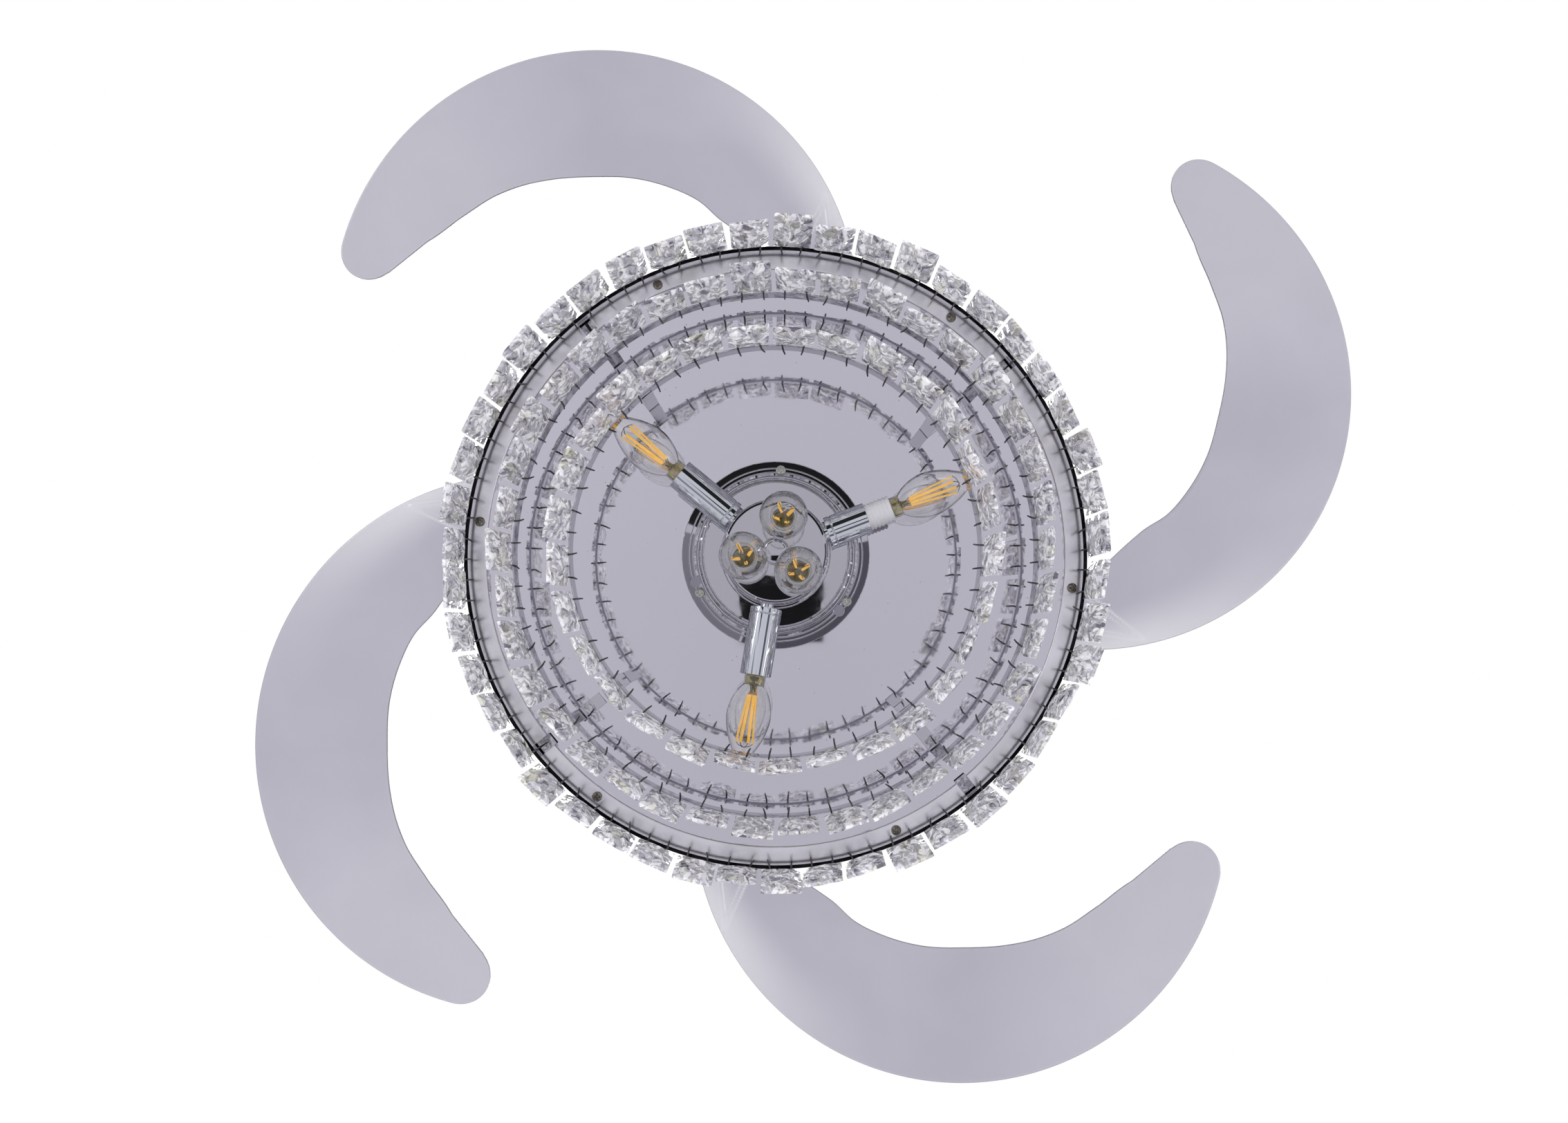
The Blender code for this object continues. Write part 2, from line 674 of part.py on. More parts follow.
def stator_outline():
    """Twelve hammer-headed teeth round a core, as points counter-clockwise from above."""
    pitch = 2 * math.pi / STATOR_TEETH
    points = []
    for tooth in range(STATOR_TEETH):
        middle = tooth * pitch
        tip_root = STATOR_RADIUS - STATOR_TIP_DEPTH
        for radius, share in (
            (STATOR_SLOT_FLOOR_RADIUS, -TOOTH_NECK_SHARE),
            (tip_root, -TOOTH_NECK_SHARE * STATOR_SLOT_FLOOR_RADIUS / tip_root),
            (tip_root, -TOOTH_TIP_SHARE),
            (STATOR_RADIUS, -TOOTH_TIP_SHARE),
            (STATOR_RADIUS, TOOTH_TIP_SHARE),
            (tip_root, TOOTH_TIP_SHARE),
            (tip_root, TOOTH_NECK_SHARE * STATOR_SLOT_FLOOR_RADIUS / tip_root),
            (STATOR_SLOT_FLOOR_RADIUS, TOOTH_NECK_SHARE),
        ):
            angle = middle + share * pitch
            points.append((radius * math.cos(angle), radius * math.sin(angle)))
    return points


def flat_outline(name, points, thickness, material, group=FAN):
    """A flat outline extruded either side of its own plane, as a mesh with its caps welded."""
    curve = bpy.data.curves.new(name, "CURVE")
    curve.dimensions = "2D"
    curve.fill_mode = "BOTH"
    curve.extrude = thickness / 2
    line = curve.splines.new("POLY")
    line.points.add(len(points) - 1)
    for point, (x, y) in zip(line.points, points):
        point.co = (x, y, 0.0, 1.0)
    line.use_cyclic_u = True
    guide = bpy.data.objects.new(name + "_outline", curve)
    bpy.context.scene.collection.objects.link(guide)
    graph = bpy.context.evaluated_depsgraph_get()
    made = bpy.data.meshes.new_from_object(guide.evaluated_get(graph))
    bpy.data.objects.remove(guide)
    shape = bmesh.new()
    shape.from_mesh(made)
    bmesh.ops.remove_doubles(shape, verts=shape.verts, dist=TINY_MERGE)
    bmesh.ops.recalc_face_normals(shape, faces=shape.faces)
    shape.to_mesh(made)
    shape.free()
    made.name = name
    return add_part(name, made, material, group)


def build_motor():
    bearing_bore = BEARING_RADIUS + HOLE_CLEARANCE
    boss_top = -ROTOR_LID_DROP + ROTOR_BOSS_RISE
    lid_low = -ROTOR_LID_DROP - ROTOR_LID_THICKNESS
    upper_roof = boss_top - ROTOR_LIP_HEIGHT
    turned(
        "rotor_top",
        [
            (ROTOR_LIP_RADIUS, boss_top),
            (ROTOR_BOSS_RADIUS, boss_top),
            (ROTOR_BOSS_FOOT_RADIUS, -ROTOR_LID_DROP),
            (ROTOR_RADIUS, -ROTOR_LID_DROP),
            (ROTOR_RADIUS, lid_low),
            (bearing_bore, lid_low),
            (bearing_bore, upper_roof),
            (ROTOR_LIP_RADIUS, upper_roof),
        ],
        MOTOR_CASE,
    )
    cup_top = lid_low - SEAT_GAP
    cup_low = -ROTOR_BASE_DROP
    floor_top = cup_low + ROTOR_PLATE
    lower_floor = cup_low + ROTOR_LIP_HEIGHT
    boss_rise = lower_floor + BEARING_HEIGHT + 2 * SEAT_GAP
    boss_outer = bearing_bore + BEARING_BOSS_WALL
    wall_inner = ROTOR_RADIUS - ROTOR_WALL
    magnet_middle = (cup_top + floor_top) / 2
    magnet_top = magnet_middle + MAGNET_HEIGHT / 2
    magnet_low = magnet_middle - MAGNET_HEIGHT / 2
    turned(
        "rotor_base",
        [
            (wall_inner, cup_top),
            (ROTOR_RADIUS, cup_top),
            (ROTOR_RADIUS, cup_low),
            (ROTOR_LIP_RADIUS, cup_low),
            (ROTOR_LIP_RADIUS, lower_floor),
            (bearing_bore, lower_floor),
            (bearing_bore, boss_rise),
            (boss_outer, boss_rise),
            (boss_outer, floor_top),
            (wall_inner, floor_top),
            (wall_inner, magnet_low),
            (MAGNET_INNER_RADIUS, magnet_low),
            (MAGNET_INNER_RADIUS, magnet_top),
            (wall_inner, magnet_top),
        ],
        MOTOR_CASE,
    )
    ring_inner = SHAFT_RADIUS + HOLE_CLEARANCE
    for name, low in (
        ("upper_bearing", upper_roof - SEAT_GAP - BEARING_HEIGHT),
        ("lower_bearing", lower_floor + SEAT_GAP),
    ):
        turned(
            name,
            [
                (ring_inner, low + BEARING_HEIGHT),
                (BEARING_RADIUS, low + BEARING_HEIGHT),
                (BEARING_RADIUS, low),
                (ring_inner, low),
            ],
            STEEL,
            SMALL_STEPS,
        )
    stator = flat_outline("stator", stator_outline(), STATOR_HEIGHT, COPPER)
    stator.location = (0.0, 0.0, magnet_middle)
    cut(
        stator,
        drum(
            "stator_bore",
            ring_inner,
            STATOR_HEIGHT + 2 * CUT_OVERRUN,
            (0.0, 0.0, magnet_middle),
        ),
    )


# Blade tray, cover dish, blades and pivots


def tray_top():
    return -ROTOR_BASE_DROP - SEAT_GAP


def blade_seat():
    """Height of the underside of each blade at its pivot."""
    return tray_top() + PIN_LIFT


def pivot_point(turn):
    return direction(turn) * PIVOT_CIRCLE_RADIUS


def smooth_table(pairs, at):
    """Catmull-Rom curve through (place, value) pairs, read at one place."""
    for i in range(len(pairs) - 1):
        if at <= pairs[i + 1][0] or i == len(pairs) - 2:
            break
    left, right = pairs[i], pairs[i + 1]
    before = pairs[max(i - 1, 0)]
    after = pairs[min(i + 2, len(pairs) - 1)]
    width = right[0] - left[0]
    t = (at - left[0]) / width
    slope_left = (right[1] - before[1]) / (right[0] - before[0]) * width
    slope_right = (after[1] - left[1]) / (after[0] - left[0]) * width
    return (
        left[1] * (2 * t**3 - 3 * t**2 + 1)
        + slope_left * (t**3 - 2 * t**2 + t)
        + right[1] * (3 * t**2 - 2 * t**3)
        + slope_right * (t**3 - t**2)
    )


def blade_columns():
    """(sweep in degrees, inner radius, outer radius) from the hub round to the tip."""
    columns = []
    for angle in BLADE_CAP_ANGLES:
        back = math.degrees(BLADE_HUB_RADIUS * math.cos(math.radians(angle)) / PIVOT_CIRCLE_RADIUS)
        half = BLADE_HUB_RADIUS * math.sin(math.radians(angle))
        columns.append((-back, PIVOT_CIRCLE_RADIUS - half, PIVOT_CIRCLE_RADIUS + half))
    first_share = BLADE_INNER_EDGE_SHARES[0][0]
    edge = ((0.0, 1.0 - 2 * BLADE_HUB_RADIUS / BLADE_ARC_RADIUS),) + BLADE_INNER_EDGE_SHARES
    for i in range(BLADE_COLUMNS):
        share = first_share / 2 + (1.0 - first_share / 2) * i / (BLADE_COLUMNS - 1)
        inner = BLADE_ARC_RADIUS * smooth_table(edge, share)
        columns.append((share * BLADE_TIP_CENTRE_TURN, inner, BLADE_ARC_RADIUS))
    tip_middle = BLADE_ARC_RADIUS - BLADE_TIP_RADIUS
    for angle in BLADE_CAP_ANGLES[:-1]:
        forward = math.degrees(BLADE_TIP_RADIUS * math.sin(math.radians(angle)) / tip_middle)
        half = BLADE_TIP_RADIUS * math.cos(math.radians(angle))
        columns.append((BLADE_TIP_CENTRE_TURN + forward, tip_middle - half, tip_middle + half))
    return columns


def blade_height(sweep):
    """Rise of the blade's ramp above its level root, which lets each blade fold over the next."""
    return BLADE_RAMP_RISE * max(0.0, sweep - BLADE_FLAT_TURN) / BLADE_RAMP_TURN


def blade_mesh():
    """A grid bent into the crescent: its columns run from hub to tip and its two rows are the edges."""
    columns = blade_columns()

    def build(shape):
        bmesh.ops.create_grid(shape, x_segments=len(columns) - 1, y_segments=1, size=1.0)
        for vertex in shape.verts:
            place = (vertex.co.x + 1.0) / 2 * (len(columns) - 1)
            sweep, inner, outer = columns[round(place)]
            radius = outer if vertex.co.y > 0 else inner
            flat = direction(sweep) * radius
            vertex.co = (flat.x - PIVOT_CIRCLE_RADIUS, flat.y, blade_height(sweep) + BLADE_SHEET / 2)

    return mesh_of("blade", build)


def build_blades():
    shared = blade_mesh()
    shared.materials.append(ACRYLIC)
    tray = turned(
        "blade_tray",
        [
            (SHAFT_RADIUS + TRAY_HOLE_GAP, tray_top()),
            (TRAY_RADIUS - TRAY_RIM_WIDTH, tray_top()),
            (TRAY_RADIUS - TRAY_RIM_WIDTH, tray_top() + TRAY_RIM_RISE),
            (TRAY_RADIUS, tray_top() + TRAY_RIM_RISE),
            (TRAY_RADIUS, tray_top() - TRAY_SHEET),
            (SHAFT_RADIUS + TRAY_HOLE_GAP, tray_top() - TRAY_SHEET),
        ],
        SILVER_PAINT,
        WIDE_STEPS,
    )
    dish_low = -ROTOR_LID_DROP + SEAT_GAP
    dish_top = dish_low + DISH_SHEET
    turned(
        "blade_cover",
        [
            (DISH_HOLE_RADIUS, dish_top),
            (ROTOR_RADIUS, dish_top),
            (TRAY_RADIUS, dish_top - DISH_SLOPE_DROP),
            (TRAY_RADIUS, dish_low - DISH_SLOPE_DROP),
            (ROTOR_RADIUS, dish_low),
            (DISH_HOLE_RADIUS, dish_low),
        ],
        SILVER_PAINT,
        WIDE_STEPS,
    )
    bore_height = TRAY_SHEET + PIN_LIFT + BLADE_SHEET + 2 * CUT_OVERRUN
    bore_middle = tray_top() - TRAY_SHEET - CUT_OVERRUN + bore_height / 2
    for index, (turn, opening) in enumerate(zip(BLADE_PIVOT_DIRECTIONS, BLADE_OPENINGS)):
        pivot = pivot_point(turn)
        frame = bpy.data.objects.new(f"blade_hinge_{index + 1}", None)
        FAN.objects.link(frame)
        frame.location = (pivot.x, pivot.y, blade_seat())
        frame.rotation_euler = (0.0, 0.0, -math.radians(turn - opening))
        bore = drum(
            "pivot_bore",
            PIN_RADIUS + HOLE_CLEARANCE,
            bore_height,
            (pivot.x, pivot.y, bore_middle),
            steps=LAMP_STEPS,
        )
        blade = bpy.data.objects.new(f"blade_{index + 1}", shared)
        FAN.objects.link(blade)
        blade.parent = frame
        wall = blade.modifiers.new("sheet", "SOLIDIFY")
        wall.thickness = BLADE_SHEET
        wall.offset = 0.0
        cut(blade, bore)
        cut(tray, bore)
        pin = turned(f"blade_pivot_pin_{index + 1}", pin_profile(), STEEL, LAMP_STEPS, closed=False)
        pin.location = (pivot.x, pivot.y, tray_top())
        build_spring(index + 1, pivot, turn)


def pin_profile():
    """Shouldered rivet, its height measured from the top of the tray."""
    head_low = PIN_LIFT + BLADE_SHEET + SEAT_GAP
    foot_top = -TRAY_SHEET - SEAT_GAP
    return [
        (0.0, head_low + PIN_HEAD_HEIGHT),
        (PIN_HEAD_RADIUS, head_low + PIN_HEAD_HEIGHT),
        (PIN_HEAD_RADIUS, head_low),
        (PIN_RADIUS, head_low),
        (PIN_RADIUS, PIN_LIFT - SEAT_GAP),
        (PIN_COLLAR_RADIUS, PIN_LIFT - SEAT_GAP),
        (PIN_COLLAR_RADIUS, SEAT_GAP),
        (PIN_RADIUS, SEAT_GAP),
        (PIN_RADIUS, foot_top),
        (PIN_FOOT_RADIUS, foot_top),
        (PIN_FOOT_RADIUS, foot_top - PIN_HEAD_HEIGHT),
        (0.0, foot_top - PIN_HEAD_HEIGHT),
    ]


def least_turn_gap(spots):
    """Least clear gap between points of the wire that lie at least half a turn apart."""
    apart = SPRING_POINTS_A_TURN // 2
    gaps = [
        (spots[k] - spots[i]).length - 2 * SPRING_WIRE_RADIUS
        for i in range(len(spots))
        for k in range(i + apart, len(spots))
    ]
    return min(gaps)


def build_spring(number, pivot, turn):
    """Torsion spring coiled round the pin's collar, between the tray and the blade."""
    curve = bpy.data.curves.new(f"blade_spring_{number}", "CURVE")
    curve.dimensions = "3D"
    curve.bevel_depth = SPRING_WIRE_RADIUS
    curve.bevel_resolution = 1
    curve.use_fill_caps = True
    count = round(SPRING_TURNS * SPRING_POINTS_A_TURN) + 1
    line = curve.splines.new("POLY")
    line.points.add(count - 1)
    low = SEAT_GAP + SPRING_WIRE_RADIUS
    spots = []
    for i, point in enumerate(line.points):
        angle = 2 * math.pi * i / SPRING_POINTS_A_TURN
        height = low + SPRING_PITCH * i / SPRING_POINTS_A_TURN
        spot = Vector((math.cos(angle), math.sin(angle), 0.0)) * SPRING_COIL_RADIUS
        spot.z = height
        spots.append(spot)
        point.co = (*spot, 1.0)
    print(f"blade spring {number}: least gap between turns {least_turn_gap(spots) / MM:.2f} mm")
    curve.materials.append(SPRING_STEEL)
    obj = bpy.data.objects.new(f"blade_spring_{number}", curve)
    FAN.objects.link(obj)
    obj.location = (pivot.x, pivot.y, tray_top())
    obj.rotation_euler = (0.0, 0.0, -math.radians(turn))


# Mirror plate, bands and crystals


def below_plate(depth):
    return -PLATE_LOWER_DROP - depth


def spread(count, first):
    """Directions of equally spaced copies."""
    return [first + 360.0 * i / count for i in range(count)]


def fastener(name, turn, circle, seat_depth, passes):
    """Cross-head screw with its head down, through the plate and what hangs on it."""
    screw = turned(
        name,
        screw_profile(SCREW_RADIUS, SCREW_HEAD_RADIUS, SCREW_HEAD_HEIGHT, passes + SCREW_TAIL),
        STEEL,
        FINE_STEPS,
        closed=False,
    )
    spot = direction(turn) * circle
    screw.location = (spot.x, spot.y, below_plate(seat_depth))
    screw.rotation_euler = (math.pi, 0.0, 0.0)
    bore = drum(
        "screw_bore",
        SCREW_RADIUS + HOLE_CLEARANCE,
        passes + 2 * CUT_OVERRUN,
        (spot.x, spot.y, below_plate(seat_depth - passes / 2)),
        steps=FINE_STEPS,
    )
    return bore


def build_plate():
    hole = SHAFT_THREAD_RADIUS + HOLE_CLEARANCE
    plate = turned(
        "mirror_plate",
        [
            (hole, below_plate(-PLATE_SHEET)),
            (PLATE_RADIUS, below_plate(-PLATE_SHEET)),
            (PLATE_RADIUS, below_plate(0.0)),
            (hole, below_plate(0.0)),
        ],
        MIRROR,
        WIDE_STEPS,
    )
    nut_middle = below_plate(SEAT_GAP + NUT_HEIGHT / 2)
    nut = drum("plate_nut", NUT_RADIUS, NUT_HEIGHT, (0.0, 0.0, nut_middle), FAN, 6, None, STEEL)
    cut(nut, drum("nut_bore", hole, NUT_HEIGHT + 2 * CUT_OVERRUN, (0.0, 0.0, nut_middle)))
    return plate


def band_pegs(name, radius, depth, count, first):
    """The bent wire ends between the crystals, as one helper that joins the band."""
    low = below_plate(depth)
    inner = radius - PEG_ROOT
    outer = radius + CRYSTAL_STANDOFF
    boxes = []
    for turn in spread(count, first + 180.0 / count)[::PEG_EVERY]:
        middle = direction(turn) * (inner + outer) / 2
        size = (outer - inner, PEG_WIDTH, PEG_SHEET)
        boxes.append((size, (middle.x, middle.y, low + PEG_RISE + PEG_SHEET / 2), turn))
    return joined_blocks(name, boxes)


def crystal_ring(name, radius, depth, count, first):
    """One tier of crystals, linked at their upper corners by the short bars that rest on the pegs."""
    circle = radius + CRYSTAL_STANDOFF
    middle_height = below_plate(depth) + CRYSTAL_RISE - CRYSTAL_LENGTH / 2

    def build(shape):
        sides = []
        for turn in spread(count, first):
            corners, left, right = add_crystal(shape)
            spin = turn_matrix(Vector((0.0, 0.0, 1.0)), turn)
            bmesh.ops.rotate(shape, verts=corners, cent=(0.0, 0.0, 0.0), matrix=spin)
            spot = direction(turn) * circle
            bmesh.ops.translate(shape, verts=corners, vec=(spot.x, spot.y, middle_height))
            sides.append((left, right))
        for i, (_, right) in enumerate(sides):
            left = sides[(i + 1) % count][0]
            for k in range(len(left)):
                n = (k + 1) % len(left)
                shape.faces.new((right[k], right[n], left[n], left[k]))

    add_part(name, mesh_of(name, build), CRYSTAL)


def add_crystal(shape):
    """A bar with a bevel all round both wide faces and its two upper corners clipped off.

    Returns its corners and the loops of the two clipped corners, which stay open for the links.
    """
    y = CRYSTAL_WIDTH / 2
    z = CRYSTAL_LENGTH / 2
    clip = CRYSTAL_RISE - PEG_RISE - PEG_SHEET - SEAT_GAP
    flat = y - CRYSTAL_BEVEL
    table = z - CRYSTAL_BEVEL
    rim_places = ((y, -z), (y, z - clip), (y - clip, z), (clip - y, z), (-y, z - clip), (-y, -z))
    table_places = ((flat, -table), (flat, table), (-flat, table), (-flat, -table))
    faces = []
    for side in (-1.0, 1.0):
        rim = [shape.verts.new((side * CRYSTAL_GIRDLE / 2, *place)) for place in rim_places]
        top = [shape.verts.new((side * CRYSTAL_THICKNESS / 2, *place)) for place in table_places]
        shape.faces.new(top)
        shape.faces.new((rim[0], rim[1], top[1], top[0]))
        shape.faces.new((rim[1], rim[2], top[1]))
        shape.faces.new((rim[2], rim[3], top[2], top[1]))
        shape.faces.new((rim[3], rim[4], top[2]))
        shape.faces.new((rim[4], rim[5], top[3], top[2]))
        shape.faces.new((rim[5], rim[0], top[0], top[3]))
        faces.append((rim, top))
    (rear, rear_table), (fore, fore_table) = faces
    for here, there in ((0, 1), (2, 3), (4, 5), (5, 0)):
        shape.faces.new((rear[here], rear[there], fore[there], fore[here]))
    left = (rear[4], rear[3], fore[3], fore[4])
    right = (rear[1], rear[2], fore[2], fore[1])
    return rear + fore + rear_table + fore_table, left, right


def strip_legs(name, radius, low_depth, foot_length, outward):
    """Strip legs from inside a band up to the plate, each bent over into a foot, as one helper."""
    inner = radius - BAND_SHEET - LEG_SHEET + JOIN_OVERLAP
    outer = inner + LEG_SHEET
    top = below_plate(SEAT_GAP)
    low = below_plate(low_depth)
    if outward:
        start, bend, tip = inner, outer, inner + foot_length
    else:
        start, bend, tip = outer, inner, outer - foot_length
    outline = (
        (start, top), (tip, top), (tip, top - LEG_SHEET), (bend, top - LEG_SHEET), (bend, low), (start, low),
    )

    def build(shape):
        for turn in spread(LEG_COUNT, LEG_FIRST_DIRECTION):
            sides = []
            for y in (-LEG_WIDTH / 2, LEG_WIDTH / 2):
                sides.append([shape.verts.new((across, y, height)) for across, height in outline])
            shape.faces.new(sides[0])
            shape.faces.new(sides[1])
            for i in range(len(outline)):
                k = (i + 1) % len(outline)
                shape.faces.new((sides[0][i], sides[0][k], sides[1][k], sides[1][i]))
            new = sides[0] + sides[1]
            spin = turn_matrix(Vector((0.0, 0.0, 1.0)), turn)
            bmesh.ops.rotate(shape, verts=new, cent=(0.0, 0.0, 0.0), matrix=spin)

    return add_part(name, mesh_of(name, build), None, CUTTERS)


def build_bands(plate):
    flange_inner = OUTER_BAND_RADIUS - OUTER_FLANGE_WIDTH
    wall_inner = OUTER_BAND_RADIUS - BAND_SHEET
    edge_inner = OUTER_BAND_RADIUS - OUTER_BAND_EDGE_WIDTH
    low = below_plate(OUTER_BAND_DEPTH)
    top = below_plate(SEAT_GAP)
    outer = turned(
        "outer_band",
        [
            (flange_inner, top),
            (OUTER_BAND_RADIUS, top),
            (OUTER_BAND_RADIUS, low),
            (edge_inner, low),
            (edge_inner, low + BAND_SHEET),
            (wall_inner, low + BAND_SHEET),
            (wall_inner, top - BAND_SHEET),
            (flange_inner, top - BAND_SHEET),
        ],
        CHROME,
        WIDE_STEPS,
    )
    tab_outer = wall_inner + JOIN_OVERLAP
    tab_boxes = []
    tab_depth = SEAT_GAP + BAND_SHEET
    for turn in spread(LEG_COUNT, LEG_FIRST_DIRECTION):
        spot = direction(turn) * (tab_outer - OUTER_TAB_REACH / 2)
        foot = (spot.x, spot.y, below_plate(tab_depth + (LEG_SHEET - JOIN_OVERLAP) / 2))
        tab_boxes.append(((OUTER_TAB_REACH, LEG_WIDTH, LEG_SHEET + JOIN_OVERLAP), foot, turn))
    join(outer, joined_blocks("outer_tabs", tab_boxes))
    tiers = (
        (outer, OUTER_BAND_RADIUS, OUTER_BAND_DEPTH, OUTER_CRYSTAL_DIRECTION, "outer"),
    )
    middle = plain_band("middle_frame", MIDDLE_BAND_RADIUS, MIDDLE_BAND_DEPTH, MIDDLE_BAND_HEIGHT)
    reach = MIDDLE_BAND_DEPTH - MIDDLE_BAND_HEIGHT / 2
    join(middle, strip_legs("middle_legs", MIDDLE_BAND_RADIUS, reach, MIDDLE_FOOT_LENGTH, False))
    inner = plain_band("inner_frame", INNER_BAND_RADIUS, INNER_BAND_DEPTH, INNER_BAND_HEIGHT)
    reach = INNER_BAND_DEPTH - INNER_BAND_HEIGHT / 2
    join(inner, strip_legs("inner_legs", INNER_BAND_RADIUS, reach, INNER_FOOT_LENGTH, True))
    tiers += (
        (middle, MIDDLE_BAND_RADIUS, MIDDLE_BAND_DEPTH, MIDDLE_CRYSTAL_DIRECTION, "middle"),
        (inner, INNER_BAND_RADIUS, INNER_BAND_DEPTH, INNER_CRYSTAL_DIRECTION, "inner"),
    )
    for band, radius, depth, first, word in tiers:
        count = round(2 * math.pi * (radius + CRYSTAL_STANDOFF) / CRYSTAL_PITCH)
        join(band, band_pegs(word + "_pegs", radius, depth, count, first))
        crystal_ring("crystals_" + word, radius, depth, count, first)
        print(count, "crystals in the", word, "tier")
    passes = SEAT_GAP + BAND_SHEET + SEAT_GAP + PLATE_SHEET
    seat = SEAT_GAP + BAND_SHEET + SEAT_GAP
    for i, turn in enumerate(spread(PLATE_SCREW_COUNT, PLATE_SCREW_FIRST_DIRECTION)):
        bore = fastener(f"plate_screw_{i + 1}", turn, PLATE_SCREW_CIRCLE_RADIUS, seat, passes)
        cut(plate, bore)
        cut(outer, bore)


def plain_band(name, radius, depth, height):
    low = below_plate(depth)
    inner = radius - BAND_SHEET
    return turned(
        name,
        [(inner, low + height), (radius, low + height), (radius, low), (inner, low)],
        CHROME,
        WIDE_STEPS,
    )


# Lamp pan, cup and lamps


def build_pan(plate):
    flange_inner = PAN_RADIUS - PAN_FLANGE_WIDTH
    near = SEAT_GAP
    far = SEAT_GAP + PAN_SHEET
    deep = PAN_DEPTH - PAN_SHEET
    pan = turned(
        "lamp_pan",
        [
            (PAN_RADIUS, below_plate(near)),
            (PAN_RADIUS, below_plate(far)),
            (flange_inner, below_plate(far)),
            (PAN_DRUM_RADIUS, below_plate(PAN_DEPTH - PAN_ROUNDING)),
            (PAN_DRUM_RADIUS - PAN_ROUNDING, below_plate(PAN_DEPTH)),
            (PAN_HOLE_RADIUS, below_plate(PAN_DEPTH)),
            (PAN_HOLE_RADIUS, below_plate(deep)),
            (PAN_DRUM_RADIUS - PAN_ROUNDING, below_plate(deep)),
            (PAN_DRUM_RADIUS - PAN_SHEET, below_plate(deep - PAN_ROUNDING + PAN_SHEET)),
            (PAN_DRUM_RADIUS - PAN_SHEET, below_plate(near)),
        ],
        CHROME,
    )
    passes = SEAT_GAP + PAN_SHEET + SEAT_GAP + PLATE_SHEET
    seat = SEAT_GAP + PAN_SHEET + SEAT_GAP
    for i, turn in enumerate(spread(PAN_SCREW_COUNT, PAN_SCREW_FIRST_DIRECTION)):
        bore = fastener(f"pan_screw_{i + 1}", turn, PAN_SCREW_CIRCLE_RADIUS, seat, passes)
        cut(plate, bore)
        cut(pan, bore)
        if i in KEYHOLE_SCREWS:
            spot = direction(turn - KEYHOLE_TURN) * PAN_SCREW_CIRCLE_RADIUS
            middle = (spot.x, spot.y, below_plate((near + far) / 2))
            cut(pan, drum("keyhole", KEYHOLE_RADIUS, PAN_SHEET + CUT_OVERRUN, middle, steps=FINE_STEPS))


def build_cup():
    top = below_plate(PAN_DEPTH + SEAT_GAP)
    root = top - CUP_SHEET
    face = below_plate(CUP_DEPTH)
    inner = CUP_RADIUS - CUP_SHEET
    cup = turned(
        "lamp_cup",
        [
            (0.0, face + CUP_SHEET),
            (inner - CUP_ROUNDING, face + CUP_SHEET),
            (inner, face + CUP_ROUNDING + CUP_SHEET),
            (inner, top),
            (CUP_ROOT_RADIUS, top),
            (CUP_ROOT_RADIUS, root),
            (CUP_RADIUS, root - CUP_SHEET),
            (CUP_RADIUS, face + CUP_ROUNDING),
            (CUP_RADIUS - CUP_ROUNDING, face),
            (CAP_RADIUS, face),
            (CAP_RADIUS, face - CAP_HEIGHT * CAP_EDGE_SHARE),
            (CAP_RADIUS * CAP_FLAT_SHARE, face - CAP_HEIGHT),
            (0.0, face - CAP_HEIGHT),
        ],
        CHROME,
        closed=False,
    )
    return cup


def sleeve_profile(length, nipple_length):
    """Socket sleeve along the lamp's axis: rear face at zero, nipple behind it, open front."""
    bore = BULB_BASE_RADIUS + HOLE_CLEARANCE
    return [
        (0.0, SLEEVE_FLOOR),
        (bore, SLEEVE_FLOOR),
        (bore, length),
        (bore + SLEEVE_WALL, length),
        (bore + SLEEVE_WALL, 0.0),
        (NIPPLE_RADIUS, 0.0),
        (NIPPLE_RADIUS, -nipple_length),
        (0.0, -nipple_length),
    ]


def bulb_profile(base_end):
    """Candle bulb on the same axis: tip, glass, neck and the base that fills the sleeve's bore."""
    glass = base_end + BULB_NECK_LENGTH
    points = [(0.0, glass + BULB_GLASS_LENGTH)]
    for along, across in reversed(BULB_GLASS_SHARES):
        points.append((BULB_GLASS_RADIUS * across, glass + BULB_GLASS_LENGTH * along))
    points += [
        (BULB_NECK_RADIUS, glass),
        (BULB_NECK_RADIUS, base_end),
        (BULB_BASE_RADIUS, base_end),
        (BULB_BASE_RADIUS, SLEEVE_FLOOR + SEAT_GAP),
        (0.0, SLEEVE_FLOOR + SEAT_GAP),
    ]
    return points


def build_lamp(ending, rear, axis, sleeve_length, base_end, nipple_length, cup):
    """A sleeve with its bulb, along an axis from the middle of the sleeve's rear face."""
    sleeve_points = sleeve_profile(sleeve_length, nipple_length)
    sleeve = turned(ending.format("socket"), sleeve_points, CHROME, LAMP_STEPS, closed=False)
    bulb = turned(ending.format("bulb"), bulb_profile(base_end), BULB_GLASS, LAMP_STEPS, closed=False)
    for piece in (sleeve, bulb):
        piece.location = rear
        piece.rotation_mode = "QUATERNION"
        piece.rotation_quaternion = axis.to_track_quat("Z", "Y")
    bore = drum(
        "nipple_bore",
        NIPPLE_RADIUS + HOLE_CLEARANCE,
        nipple_length + CUT_OVERRUN,
        rear - axis * (nipple_length - CUT_OVERRUN) / 2,
        steps=LAMP_STEPS,
        axis=axis,
    )
    cut(cup, bore)


